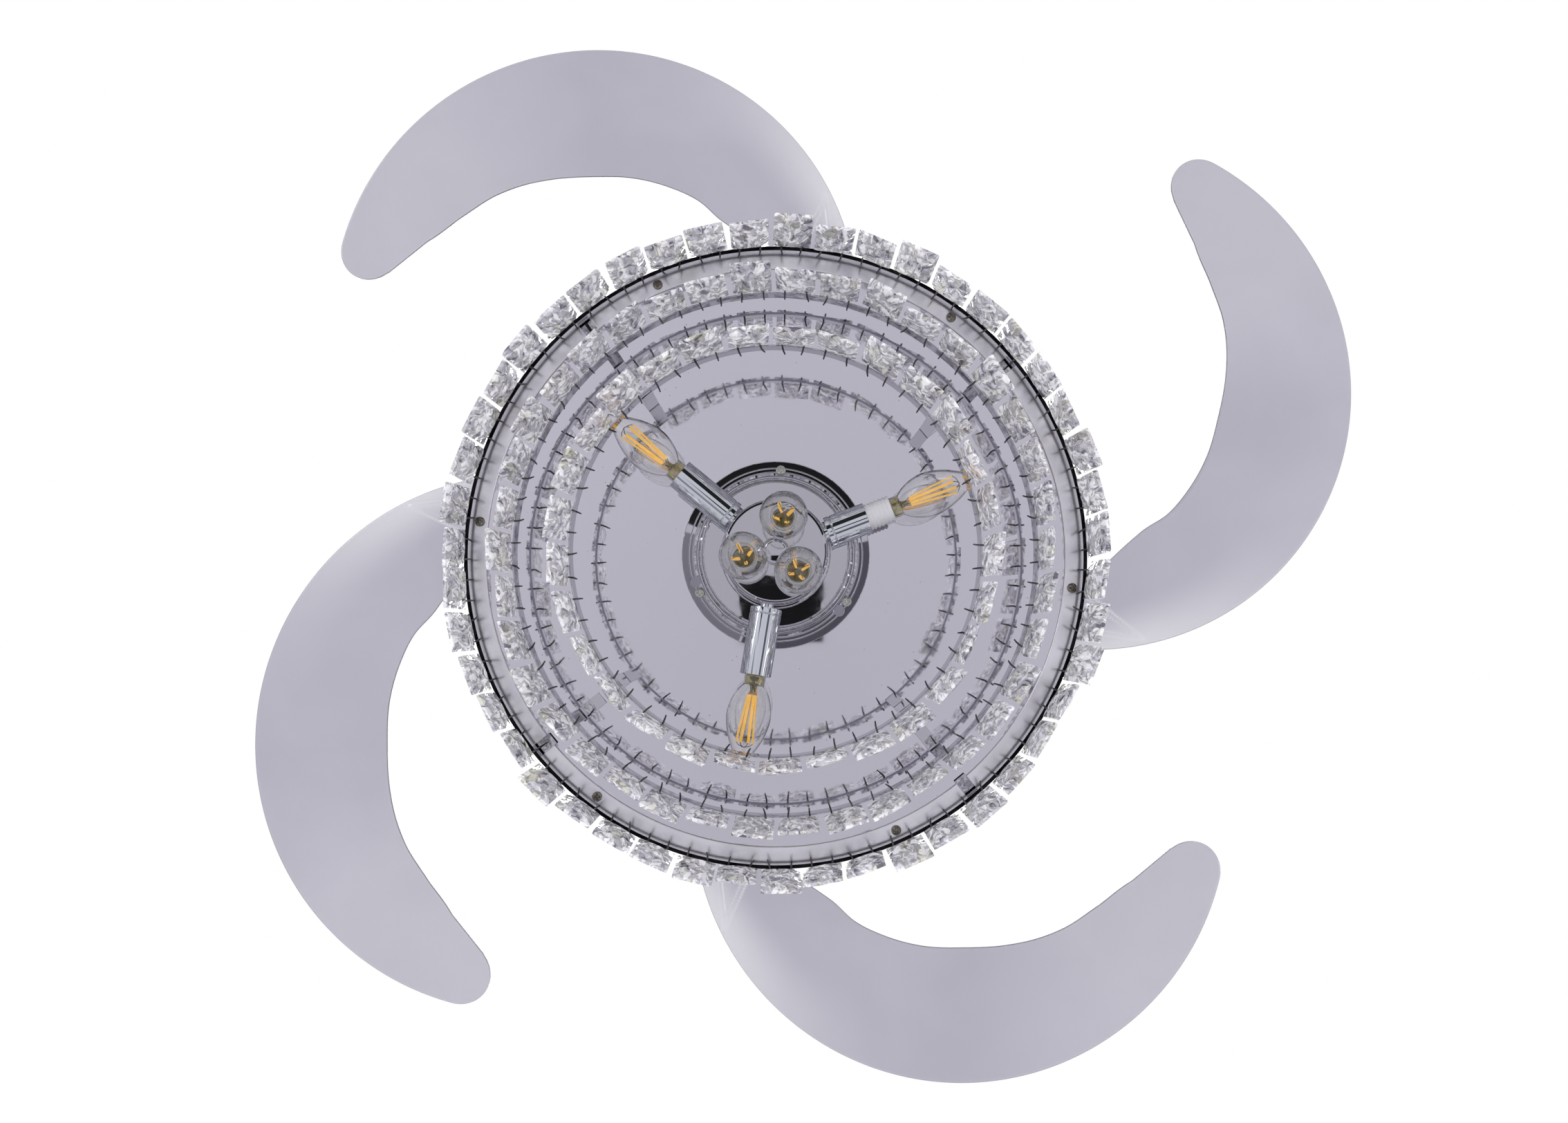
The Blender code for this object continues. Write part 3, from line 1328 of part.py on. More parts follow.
def build_lamps(cup):
    base_end = SIDE_SLEEVE_LENGTH
    for i, turn in enumerate(spread(LAMP_COUNT, SIDE_LAMP_FIRST_DIRECTION)):
        tilt = math.radians(SIDE_LAMP_TILT)
        axis = direction(turn) * math.cos(tilt) + Vector((0.0, 0.0, -math.sin(tilt)))
        rear = direction(turn) * (CUP_RADIUS + SIDE_LAMP_GAP)
        rear.z = below_plate(SIDE_LAMP_DEPTH)
        length = SHORT_SLEEVE_LENGTH if i == SHORT_SLEEVE_LAMP else SIDE_SLEEVE_LENGTH
        ending = "side_{}_" + str(i + 1)
        build_lamp(ending, rear, axis, length, base_end, NIPPLE_LENGTH, cup)
    down = Vector((0.0, 0.0, -1.0))
    base_end = DOWN_SLEEVE_LENGTH + DOWN_BASE_PROUD
    for i, turn in enumerate(spread(LAMP_COUNT, DOWN_LAMP_FIRST_DIRECTION)):
        rear = direction(turn) * DOWN_LAMP_CIRCLE_RADIUS
        rear.z = below_plate(CUP_DEPTH + SEAT_GAP)
        ending = "down_{}_" + str(i + 1)
        build_lamp(ending, rear, down, DOWN_SLEEVE_LENGTH, base_end, DOWN_NIPPLE_LENGTH, cup)


clear_scene()
build_hanging(build_bracket())
build_shaft()
build_motor()
build_blades()
mirror = build_plate()
build_bands(mirror)
build_pan(mirror)
build_lamps(build_cup())
for part in FAN.objects:
    if part.type == "MESH":
        shade_round(part.data)
print(len([part for part in FAN.objects if part.type != "EMPTY"]), "pieces")
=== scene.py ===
import json
import math

import bmesh
import bpy
import numpy as np
from mathutils import Matrix, Vector


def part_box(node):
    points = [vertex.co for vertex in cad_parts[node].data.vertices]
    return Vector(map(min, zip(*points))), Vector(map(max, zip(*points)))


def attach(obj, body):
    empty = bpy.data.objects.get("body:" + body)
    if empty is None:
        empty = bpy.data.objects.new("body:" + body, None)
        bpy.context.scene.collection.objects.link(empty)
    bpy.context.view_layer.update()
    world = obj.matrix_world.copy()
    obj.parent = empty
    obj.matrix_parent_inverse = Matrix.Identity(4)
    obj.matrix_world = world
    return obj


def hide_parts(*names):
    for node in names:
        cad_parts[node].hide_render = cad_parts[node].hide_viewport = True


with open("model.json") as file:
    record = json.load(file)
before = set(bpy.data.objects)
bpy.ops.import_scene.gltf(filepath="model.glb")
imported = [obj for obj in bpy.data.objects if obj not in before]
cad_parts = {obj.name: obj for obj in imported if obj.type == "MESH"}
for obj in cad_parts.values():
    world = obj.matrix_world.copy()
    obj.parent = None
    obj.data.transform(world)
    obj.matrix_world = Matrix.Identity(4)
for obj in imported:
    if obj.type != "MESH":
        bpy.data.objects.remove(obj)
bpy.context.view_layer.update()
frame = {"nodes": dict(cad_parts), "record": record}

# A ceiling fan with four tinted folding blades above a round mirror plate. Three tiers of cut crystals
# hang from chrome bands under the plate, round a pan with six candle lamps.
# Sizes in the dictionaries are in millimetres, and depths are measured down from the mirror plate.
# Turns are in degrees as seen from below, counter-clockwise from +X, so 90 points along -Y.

mm = 0.001
random = np.random.default_rng(11)
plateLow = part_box("mirror_plate")[0].z
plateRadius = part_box("mirror_plate")[1].x
upward = np.array([0.0, 0.0, 1.0])


def linearColor(hexText):
    # sRGB to linear light: c / 12.92 near black, else ((c + 0.055) / 1.055) ^ 2.4
    values = np.array([int(hexText[i:i + 2], 16) for i in (1, 3, 5)]) / 255.0
    linear = np.where(values <= 0.04045, values / 12.92, ((values + 0.055) / 1.055) ** 2.4)
    return (*linear.tolist(), 1.0)


def setUp(node, settings):
    # sets sockets by name or number and options by name, with hex colours turned to linear light
    for name, value in settings.items():
        if isinstance(value, str) and value.startswith("#"):
            value = linearColor(value)
        if isinstance(name, int) or name in node.inputs:
            node.inputs[name].default_value = value
        else:
            setattr(node, name, value)


def join(tree, node, links):
    # links outputs into a node's sockets; a node given as a source stands for its first output
    for name, source in links.items():
        output = source.outputs[0] if isinstance(source, bpy.types.Node) else source
        tree.links.new(output, node.inputs[name])


def addNode(tree, kind, settings, links, stops=()):
    # adds one shader node with its settings and links, and a colour ramp's (place, colour) stops
    node = tree.nodes.new(kind)
    setUp(node, settings)
    join(tree, node, links)
    if stops:
        ramp = node.color_ramp.elements
        ramp[0].position, ramp[1].position = stops[0][0], stops[-1][0]
        for place, _ in stops[1:-1]:
            ramp.new(place)
        for element, (_, tint) in zip(ramp, stops):
            element.color = linearColor(tint)
    return node


def newMaterial(name, settings):
    # gives the material, its tree, its shader and the object coordinates that its patterns read
    made = bpy.data.materials.new(name)
    made.use_nodes = True
    tree = made.node_tree
    shader = tree.nodes["Principled BSDF"]
    setUp(shader, settings)
    return made, tree, shader, addNode(tree, "ShaderNodeTexCoord", {}, {}).outputs["Object"]


def mottled(name, settings, noise, stops):
    # a material whose colour drifts between the stops, which gives back the cloud that moves it too
    made, tree, shader, coords = newMaterial(name, settings)
    cloud = addNode(tree, "ShaderNodeTexNoise", noise, {"Vector": coords})
    tone = addNode(tree, "ShaderNodeValToRGB", {}, {"Fac": cloud}, stops)
    join(tree, shader, {"Base Color": tone})
    return made, tree, shader, coords, cloud


def uneven(tree, shader, coords, noise, strength, height):
    # lets the shine waver, as on a surface with bumps of this height in millimetres
    waves = addNode(tree, "ShaderNodeTexNoise", noise, {"Vector": coords})
    lift = addNode(
        tree, "ShaderNodeBump", {"Strength": strength, "Distance": height * mm}, {"Height": waves}
    )
    join(tree, shader, {"Normal": lift})


def perMetre(size):
    # a noise of this scale repeats about once in the given millimetres
    return 1.0 / (size * mm)


def below(depth):
    return plateLow - np.asarray(depth, dtype=float) * mm


def direction(turn):
    # unit vectors (cos, -sin, 0) for turns seen from below
    angle = np.radians(np.asarray(turn, dtype=float))
    return np.stack([np.cos(angle), -np.sin(angle), np.zeros_like(angle)], axis=-1)


def spread(count, first):
    return first + 360.0 * np.arange(count) / count


def around(turns, radius, height):
    # points this many millimetres from the fan's axis, at a height in metres
    points = direction(turns) * radius * mm
    points[..., 2] = height
    return points


def turned(points):
    # (radius, depth below the plate) in millimetres, as (radius, height) in metres
    pairs = np.array(points, dtype=float)
    return np.stack([pairs[:, 0] * mm, below(pairs[:, 1])], axis=1)


def drops(points):
    # (radius, drop below the ceiling) in millimetres, as (radius, height) in metres
    return np.array(points, dtype=float) * [mm, -mm]


def smoothCurve(pairs, at):
    # cubic Hermite through (place, value) pairs, each slope taken from the two neighbours
    places, values = np.array(pairs, dtype=float).T
    slopes = np.gradient(values, places)
    k = np.clip(np.searchsorted(places, at) - 1, 0, len(places) - 2)
    width = places[k + 1] - places[k]
    t = (at - places[k]) / width
    return (
        values[k] * (2 * t**3 - 3 * t**2 + 1)
        + slopes[k] * width * (t**3 - 2 * t**2 + t)
        + values[k + 1] * (3 * t**2 - 2 * t**3)
        + slopes[k + 1] * width * (t**3 - t**2)
    )


def softened(profile, radius, steps=4, closed=True):
    # each corner becomes the parabola (1 - t)^2 a + 2 t (1 - t) corner + t^2 b, where a and b lie
    # a radius away along its two sides, or just under half a side on short ones
    corners = np.array(profile, dtype=float)
    before = np.roll(corners, 1, axis=0) - corners
    after = np.roll(corners, -1, axis=0) - corners
    lengths = [np.linalg.norm(side, axis=1, keepdims=True) + 1e-12 for side in (before, after)]
    reach = np.broadcast_to(np.asarray(radius, dtype=float).reshape(-1, 1), (len(corners), 1)).copy()
    if not closed:
        reach[[0, -1]] = 0.0
    a = corners + before / lengths[0] * np.minimum(reach, 0.45 * lengths[0])
    b = corners + after / lengths[1] * np.minimum(reach, 0.45 * lengths[1])
    t = np.linspace(0.0, 1.0, steps)[None, :, None]
    curve = (1 - t) ** 2 * a[:, None] + 2 * t * (1 - t) * corners[:, None] + t**2 * b[:, None]
    return curve.reshape(-1, 2)


def lathe(profile, steps):
    # (radius, height) points carried round the axis: (r cos a, r sin a, h)
    radius, height = np.asarray(profile, dtype=float).T
    angle = np.arange(steps) * 2 * math.pi / steps
    flat = radius[:, None] * np.cos(angle), radius[:, None] * np.sin(angle)
    return np.stack([*flat, np.broadcast_to(height[:, None], flat[0].shape)], axis=-1)[None]


def axesAlong(zAxes):
    # two unit vectors square to each axis, for copies that point different ways
    zAxes = np.atleast_2d(zAxes)
    zAxes = zAxes / np.linalg.norm(zAxes, axis=1, keepdims=True)
    guide = np.where(np.abs(zAxes[:, 2:]) < 0.9, [[0.0, 0.0, 1.0]], [[1.0, 0.0, 0.0]])
    xAxes = np.cross(guide, zAxes)
    xAxes /= np.linalg.norm(xAxes, axis=1, keepdims=True)
    return xAxes, np.cross(zAxes, xAxes), zAxes


def placed(grid, origins, xAxes, yAxes, zAxes):
    # a point (x, y, z) of each copy goes to origin + x xAxis + y yAxis + z zAxis; one grid goes to
    # many origins, or many grids go to one
    origins = np.atleast_2d(origins)
    count = max(len(grid), len(origins))
    axes = np.stack([np.broadcast_to(axis, (count, 3)) for axis in (xAxes, yAxes, zAxes)], axis=-2)
    copies = np.broadcast_to(grid, (count, *grid.shape[1:]))
    return np.einsum("cnmk,ckd->cnmd", copies, axes) + origins[:, None, None, :]


def tube(paths, radius, sides, sideways):
    # a round section r (cos a n + sin a s) carried along each path, where s is the sideways vector
    # and n is square to it and to the path's own direction
    along = np.gradient(paths, axis=1)
    along /= np.linalg.norm(along, axis=2, keepdims=True)
    side = np.broadcast_to(sideways[:, None, :], along.shape)
    normal = np.cross(side, along)
    normal /= np.linalg.norm(normal, axis=2, keepdims=True)
    side = np.cross(along, normal)
    angle = (np.arange(sides) * 2 * math.pi / sides)[None, None, :, None]
    radius = np.asarray(radius, dtype=float)
    if radius.ndim:
        radius = radius[None, :, None, None]
    ring = np.cos(angle) * normal[:, :, None] + np.sin(angle) * side[:, :, None]
    return paths[:, :, None] + radius * ring


def gridFaces(grid, ends):
    # quads between neighbouring points of [copies, along, across], always round across. Along, a grid
    # is "joined" end to end, "capped" by a face at each end, or ends in "poles" on its own axis.
    copies, along, across, _ = grid.shape
    rows = np.arange(along if ends == "joined" else along - 1)
    c, i, j = np.meshgrid(np.arange(copies), rows, np.arange(across), indexing="ij")
    corners = [
        (c * along + (i + di) % along) * across + (j + dj) % across
        for di, dj in ((0, 0), (0, 1), (1, 1), (1, 0))
    ]
    faces = np.stack(corners, axis=-1).reshape(-1, 4).tolist()
    if ends == "capped":
        first = np.arange(copies)[:, None] * along * across
        faces += (first + np.arange(across)[::-1]).tolist()
        faces += (first + (along - 1) * across + np.arange(across)).tolist()
    return faces


def closedMesh(name, points, faces, facets=False, paintedLight=None):
    # merges the points that meet and turns the faces outwards; the last argument holds painted light for
    # each point, a painted highlight above zero and painted shade at -1
    mesh = bpy.data.meshes.new(name)
    mesh.from_pydata(points.tolist(), [], faces)
    if paintedLight is not None:
        mesh.attributes.new("paintedLight", "FLOAT", "POINT").data.foreach_set("value", paintedLight.astype(np.float32))
    shape = bmesh.new()
    shape.from_mesh(mesh)
    bmesh.ops.remove_doubles(shape, verts=shape.verts, dist=0.002 * mm)
    bmesh.ops.dissolve_degenerate(shape, edges=shape.edges, dist=0.001 * mm)
    if facets:
        bmesh.ops.triangulate(shape, faces=shape.faces)
    bmesh.ops.recalc_face_normals(shape, faces=shape.faces)
    shape.to_mesh(mesh)
    shape.free()
    return mesh


def addObject(name, data):
    made = bpy.data.objects.new(name, data)
    bpy.context.scene.collection.objects.link(made)
    return made


def keepFlat(made):
    # large faces keep their flat normals, so a soft corner doesn't bend a mirror beside it
    made.modifiers.new("weigh", "WEIGHTED_NORMAL").keep_sharp = True


def piece(name, parts, material, stands=(), body="fixed_frame", sharpness=35.0, facets=False, paintedLight=None):
    # parts are (grid, ends) pairs, which become one closed mesh on one body; the material gives its slot
    points, faces, start = [], [], 0
    for grid, ends in parts:
        faces += [[index + start for index in face] for face in gridFaces(grid, ends)]
        points.append(grid.reshape(-1, 3))
        start += len(points[-1])
    made = addObject(name, closedMesh(name, np.concatenate(points), faces, facets, paintedLight))
    made.data.materials.append(material)
    if not facets:
        made.data.shade_smooth()
        made.data.set_sharp_from_angle(angle=math.radians(sharpness))
        keepFlat(made)
    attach(made, body)
    if stands:
        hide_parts(*stands)
    return made


def turnedPiece(name, profile, material, stands, steps, soft, closed=True, body="fixed_frame"):
    # a profile with soft corners carried round the fan's axis
    grid = lathe(softened(profile, soft * mm, closed=closed), steps)
    return piece(name, [(grid, "joined" if closed else "poles")], material, stands, body)


# Materials

# Chromium plate on pressed and polished steel: a bright, slightly blue-violet mirror. The pressing
# leaves slow waves tens of millimetres long, and handling leaves faint smears.
chromePlate, tree, shader, coords = newMaterial(
    "chromium plate, polished", {"Base Color": "#BEBDC4", "Metallic": 1.0, "Roughness": 0.07}
)
smears = addNode(
    tree, "ShaderNodeTexNoise", {"Scale": perMetre(9), "Detail": 5.0, "Roughness": 0.6}, {"Vector": coords}
)
haze = addNode(
    tree, "ShaderNodeMapRange", {"From Min": 0.35, "From Max": 0.75, "To Min": 0.015, "To Max": 0.06},
    {"Value": smears},
)
join(tree, shader, {"Roughness": haze})
uneven(tree, shader, coords, {"Scale": perMetre(34), "Detail": 2.0}, 0.25, 0.3)

# Chromium plate on drawn tube: paler and bluer than the pressed parts, with a cloudy haze from polishing.
chromeTube, tree, shader, coords = newMaterial(
    "chromium plate, drawn", {"Base Color": "#D6DAE0", "Metallic": 1.0, "Roughness": 0.06}
)
drawn = addNode(
    tree, "ShaderNodeTexNoise", {"Scale": perMetre(6), "Detail": 4.0, "Roughness": 0.6}, {"Vector": coords}
)
haze = addNode(
    tree, "ShaderNodeMapRange", {"From Min": 0.35, "From Max": 0.75, "To Min": 0.03, "To Max": 0.1},
    {"Value": drawn},
)
join(tree, shader, {"Roughness": haze})

# Satin nickel on the outer band: pale grey, a little uneven, with no sharp image of what is beside it.
satinNickel, tree, shader, coords, cloud = mottled(
    "nickel plate, satin", {"Base Color": "#EFEDF3", "Metallic": 1.0, "Roughness": 0.22},
    {"Scale": perMetre(14), "Detail": 6.0, "Roughness": 0.7}, ((0.0, "#E8E6EB"), (1.0, "#F6F5FA")),
)
haze = addNode(tree, "ShaderNodeMapRange", {"To Min": 0.16, "To Max": 0.3}, {"Value": cloud})
join(tree, shader, {"Roughness": haze})

# Stainless sheet polished to a mirror, with a lavender cast under the crystals: very flat, with dust
# specks about a millimetre across and long slow waves. Under the lamp pan the sheet is painted darker,
# as painted shade from the pan, which shows through the pan's keyholes.
mirrorSheet, tree, shader, coords = newMaterial(
    "stainless sheet, mirror polished", {"Base Color": "#D2D0D8", "Metallic": 1.0, "Roughness": 0.03}
)
film = addNode(
    tree, "ShaderNodeTexNoise", {"Scale": perMetre(60), "Detail": 4.0, "Roughness": 0.55}, {"Vector": coords}
)
haze = addNode(
    tree, "ShaderNodeMapRange", {"From Min": 0.3, "From Max": 0.7, "To Min": 0.02, "To Max": 0.07},
    {"Value": film},
)
dust = addNode(tree, "ShaderNodeTexVoronoi", {"Scale": perMetre(11)}, {"Vector": coords})
speck = addNode(
    tree, "ShaderNodeMapRange", {"From Min": 0.03, "From Max": 0.06, "To Min": 0.35, "To Max": 0.0},
    {"Value": dust},
)
rough = addNode(tree, "ShaderNodeMath", {"operation": "ADD"}, {0: haze, 1: speck})
level = addNode(tree, "ShaderNodeVectorMath", {"operation": "MULTIPLY", 1: (1.0, 1.0, 0.0)}, {0: coords})
away = addNode(tree, "ShaderNodeVectorMath", {"operation": "LENGTH"}, {0: level})
# painted shade: the sheet within 75 mm of the axis, under the lamp pan, is painted darker
outsidePanShadeMask = addNode(
    tree, "ShaderNodeMapRange", {"From Min": 75.0 * mm, "From Max": 76.0 * mm},
    {"Value": away.outputs["Value"]},
)
sheetToneWithPaintedShade = addNode(tree, "ShaderNodeMix", {"data_type": "RGBA", 6: "#94929C", 7: "#D2D0D8"}, {0: outsidePanShadeMask})
join(tree, shader, {"Base Color": sheetToneWithPaintedShade.outputs[2], "Roughness": rough})
uneven(tree, shader, coords, {"Scale": perMetre(90), "Detail": 1.0}, 0.2, 0.5)

# Acrylic, injection moulded with a lavender-grey tint: light comes through it evenly, the surface is
# glossy, and slow flow lines barely show. A painted highlight makes it paler by the outer edge and along
# the ribs, and painted shade makes the polished edge darker.
tintedAcrylic, tree, shader, coords = newMaterial(
    "acrylic, moulded and tinted",
    {"Base Color": "#BDBAC8", "Roughness": 0.12, "IOR": 1.49, "Transmission Weight": 0.82},
)
flow = addNode(
    tree, "ShaderNodeTexNoise", {"Scale": perMetre(120), "Detail": 3.0, "Distortion": 0.4},
    {"Vector": coords},
)
tint = addNode(tree, "ShaderNodeValToRGB", {}, {"Fac": flow}, ((0.3, "#BDBBC7"), (0.7, "#C5C3CF")))
# painted highlight and painted shade: a level for each point paints the blade paler, and its very edge
# darker
paintedLightLevel = addNode(tree, "ShaderNodeAttribute", {"attribute_name": "paintedLight"}, {}).outputs["Fac"]
paintedHighlightTone = addNode(tree, "ShaderNodeMix", {"data_type": "RGBA", 7: "#F8F7FB"}, {0: paintedLightLevel, 6: tint})
edge = addNode(tree, "ShaderNodeMath", {"operation": "MULTIPLY", "use_clamp": True, 1: -1.0}, {0: paintedLightLevel})
paintedEdgeShadeTone = addNode(tree, "ShaderNodeMix", {"data_type": "RGBA", 7: "#6E6C77"}, {0: edge, 6: paintedHighlightTone.outputs[2]})
join(tree, shader, {"Base Color": paintedEdgeShadeTone.outputs[2]})
uneven(tree, shader, coords, {"Scale": perMetre(25), "Detail": 2.0}, 0.15, 0.3)

# Crystal glass, cut and polished. Chips about 7.5 mm wide, each with fine streaks its own way, are painted
# reflections and painted highlights in white, lavender-grey, dark grey and a little warm grey. The crystals
# hang upright and are seen steeply from below, so the chips are nearly three times as tall as wide. A faint
# painted glow stands for the daylight that the facets gather.
crystalGlass, tree, shader, coords = newMaterial(
    "crystal glass, cut and polished",
    {"Base Color": "#DEDCE5", "Roughness": 0.02, "IOR": 1.4, "Transmission Weight": 0.55},
)
tall = addNode(tree, "ShaderNodeVectorMath", {"operation": "MULTIPLY", 1: (1.0, 1.0, 0.38)}, {0: coords})
warp = addNode(tree, "ShaderNodeTexNoise", {"Scale": perMetre(7), "Detail": 2.0}, {"Vector": tall})
shove = addNode(
    tree, "ShaderNodeVectorMath", {"operation": "MULTIPLY_ADD", 1: (0.007, 0.007, 0.007)},
    {0: warp.outputs["Color"], 2: tall},
)
chips = addNode(tree, "ShaderNodeTexVoronoi", {"Scale": perMetre(7.5)}, {"Vector": shove})
spin = addNode(
    tree, "ShaderNodeVectorMath", {"operation": "MULTIPLY", 1: (6.3, 6.3, 6.3)}, {0: chips.outputs["Color"]}
)
facing = addNode(
    tree, "ShaderNodeVectorRotate", {"rotation_type": "EULER_XYZ"}, {"Vector": shove, "Rotation": spin}
)
drawn = addNode(tree, "ShaderNodeVectorMath", {"operation": "MULTIPLY", 1: (1.0, 0.3, 0.3)}, {0: facing})
streaks = addNode(
    tree, "ShaderNodeTexNoise",
    {"Scale": perMetre(3.0), "Detail": 1.5, "Roughness": 0.55, "Distortion": 0.5}, {"Vector": drawn},
)
# painted highlights and painted reflections: the streaks are painted white, dark grey and warm grey
paintedStreakReflectionTones = (
    (0.34, "#74727C"), (0.39, "#D3D1DB"), (0.46, "#F2F1F6"), (0.50, "#B6B5AB"), (0.54, "#F0EFF5"),
    (0.60, "#FFFFFF"),
)
# painted reflections: each chip is painted its own reflected tone
paintedChipReflectionTones = (
    (0.0, "#C9C9BA"), (0.1, "#FCFBF6"), (0.25, "#E6E5EC"), (0.5, "#FFFFFF"), (0.8, "#F8F7FB"),
    (1.0, "#FFFFFF"),
)
paintedStreakReflections = addNode(tree, "ShaderNodeValToRGB", {}, {"Fac": streaks}, paintedStreakReflectionTones)
apart = addNode(tree, "ShaderNodeSeparateColor", {}, {"Color": chips.outputs["Color"]})
paintedChipReflection = addNode(tree, "ShaderNodeValToRGB", {}, {"Fac": apart}, paintedChipReflectionTones)
body = addNode(
    tree, "ShaderNodeMix", {"data_type": "RGBA", "blend_type": "MULTIPLY", 0: 1.0}, {6: paintedStreakReflections, 7: paintedChipReflection}
).outputs[2]
relief = addNode(tree, "ShaderNodeMath", {"operation": "MULTIPLY_ADD", 1: 0.5}, {0: streaks, 2: chips})
lift = addNode(tree, "ShaderNodeBump", {"Strength": 1.0, "Distance": 2.2 * mm}, {"Height": relief})
# painted light: a faint glow where the streaks are bright
paintedGlow = addNode(
    tree, "ShaderNodeMapRange", {"From Min": 0.44, "From Max": 0.6, "To Min": 0.02, "To Max": 0.26},
    {"Value": streaks},
)
join(tree, shader, {"Base Color": body, "Emission Color": body, "Emission Strength": paintedGlow, "Normal": lift})

# Soda glass, blown thin: clear, with slow ripples left by the mould.
bulbGlass, tree, shader, coords = newMaterial(
    "soda glass, blown", {"Base Color": "#FEFEFD", "Roughness": 0.0, "IOR": 1.5, "Transmission Weight": 1.0}
)
uneven(tree, shader, coords, {"Scale": perMetre(16), "Detail": 2.0}, 0.25, 0.3)

# Soda glass, pressed, with yellow cement behind it: an olive-yellow body with a slow swirl.
footGlass = mottled(
    "soda glass, pressed on yellow cement",
    {"Base Color": "#EFECD6", "Roughness": 0.1, "IOR": 1.2, "Transmission Weight": 0.85},
    {"Scale": perMetre(5), "Detail": 4.0, "Distortion": 1.0}, ((0.35, "#B9AC5C"), (0.65, "#EDE7C0")),
)[0]

# Nickel-plated steel screws: pale and warm, with a fine cloudy plating.
nickelPlate = mottled(
    "steel, nickel plated", {"Base Color": "#D3D2CB", "Metallic": 1.0, "Roughness": 0.3},
    {"Scale": perMetre(2), "Detail": 3.0}, ((0.0, "#C3C2BA"), (1.0, "#ECEBE6")),
)[0]

# Silicone with yellow phosphor over a glass strip: dull and warm, with grains of about a millimetre. A faint
# painted glow makes it bright for its colour, as painted light for the daylight that the glass keeps from
# it.
phosphor = mottled(
    "phosphor silicone, dispensed",
    {"Base Color": "#F8C04C", "Roughness": 0.45, "Emission Color": "#F5B84A", "Emission Strength": 0.5},
    {"Scale": perMetre(1.5), "Detail": 3.0}, ((0.0, "#F0C04C"), (1.0, "#FBE08A")),
)[0]

# Polycarbonate, injection moulded in white: soft gloss with a fine spark texture, drawn a little coarser
# than life so that it shows.
whitePlastic, tree, shader, coords, cloud = mottled(
    "polycarbonate, moulded white", {"Base Color": "#D9D8DA", "Roughness": 0.3, "IOR": 1.58},
    {"Scale": perMetre(30), "Detail": 3.0}, ((0.0, "#CFCED2"), (1.0, "#E2E1E4")),
)
uneven(tree, shader, coords, {"Scale": perMetre(0.8), "Detail": 2.0}, 0.12, 0.05)

# Steel screws and sheet, zinc plated: satin grey with a brownish passivation bloom and crystal grains
# a few millimetres across.
zincPlate, tree, shader, coords, cloud = mottled(
    "steel, zinc plated", {"Base Color": "#A9A49E", "Metallic": 1.0, "Roughness": 0.33},
    {"Scale": perMetre(4), "Detail": 5.0, "Roughness": 0.65}, ((0.3, "#6B645A"), (0.7, "#A5A196")),
)
satin = addNode(tree, "ShaderNodeMapRange", {"To Min": 0.12, "To Max": 0.34}, {"Value": cloud})
join(tree, shader, {"Roughness": satin})

# Outer band's rolled lip, painted near black as a painted dark reflection of the band's wall, with lighter
# patches.
paintedDarkReflection = mottled(
    "rolled lip, painted dark reflection", {"Base Color": "#18171A", "Metallic": 1.0, "Roughness": 0.35},
    {"Scale": perMetre(12), "Detail": 5.0}, ((0.4, "#121114"), (0.8, "#302D30")),
)[0]

# Steel wire, nickel plated and drawn: grey and bright, darker where the plating is thin.
drawnWire = mottled(
    "steel wire, nickel plated", {"Base Color": "#8C898A", "Metallic": 1.0, "Roughness": 0.28},
    {"Scale": perMetre(3), "Detail": 3.0}, ((0.0, "#3A3839"), (1.0, "#7E7C7F")),
)[0]

# Spring steel wire, oiled: dark, with a soft sheen.
springWire, tree, shader, coords = newMaterial(
    "spring steel, oiled", {"Base Color": "#5B5C60", "Metallic": 1.0, "Roughness": 0.3}
)
oil = addNode(tree, "ShaderNodeTexNoise", {"Scale": perMetre(2), "Detail": 3.0}, {"Vector": coords})
film = addNode(tree, "ShaderNodeMapRange", {"To Min": 0.2, "To Max": 0.45}, {"Value": oil})
join(tree, shader, {"Roughness": film})

# Aluminium, die cast and blasted: grey with faint stains, and a grain of about a millimetre.
castAluminium, tree, shader, coords, cloud = mottled(
    "aluminium, die cast", {"Base Color": "#BEBEC2", "Metallic": 1.0, "Roughness": 0.42},
    {"Scale": perMetre(22), "Detail": 3.0}, ((0.0, "#ABABB0"), (1.0, "#CBCBCE")),
)
uneven(tree, shader, coords, {"Scale": perMetre(1.2), "Detail": 4.0}, 0.3, 0.1)

# Copper windings on varnished laminations: orange brown, with bands of wire a few millimetres wide,
# coarser than life so that they show.
copperWinding, tree, shader, coords = newMaterial(
    "copper wire, varnished", {"Base Color": "#B0642E", "Metallic": 0.8, "Roughness": 0.4}
)
turns = addNode(
    tree, "ShaderNodeTexWave",
    {"Scale": perMetre(6), "Distortion": 0.4, "wave_type": "RINGS", "rings_direction": "Z"},
    {"Vector": coords},
)
wound = addNode(
    tree, "ShaderNodeValToRGB", {}, {"Fac": turns.outputs["Fac"]}, ((0.0, "#7D4420"), (1.0, "#C87A3E"))
)
join(tree, shader, {"Base Color": wound})

# Silver lacquer, sprayed on sheet: a pale metallic coat with orange peel a few millimetres across.
silverLacquer, tree, shader, coords, cloud = mottled(
    "lacquer, sprayed silver",
    {"Base Color": "#C9C8CD", "Metallic": 0.7, "Roughness": 0.3, "Coat Weight": 0.4, "Coat Roughness": 0.08},
    {"Scale": perMetre(0.9), "Detail": 2.0}, ((0.0, "#BDBCC2"), (1.0, "#D5D4D8")),
)
uneven(tree, shader, coords, {"Scale": perMetre(3.5), "Detail": 1.0}, 0.12, 0.1)

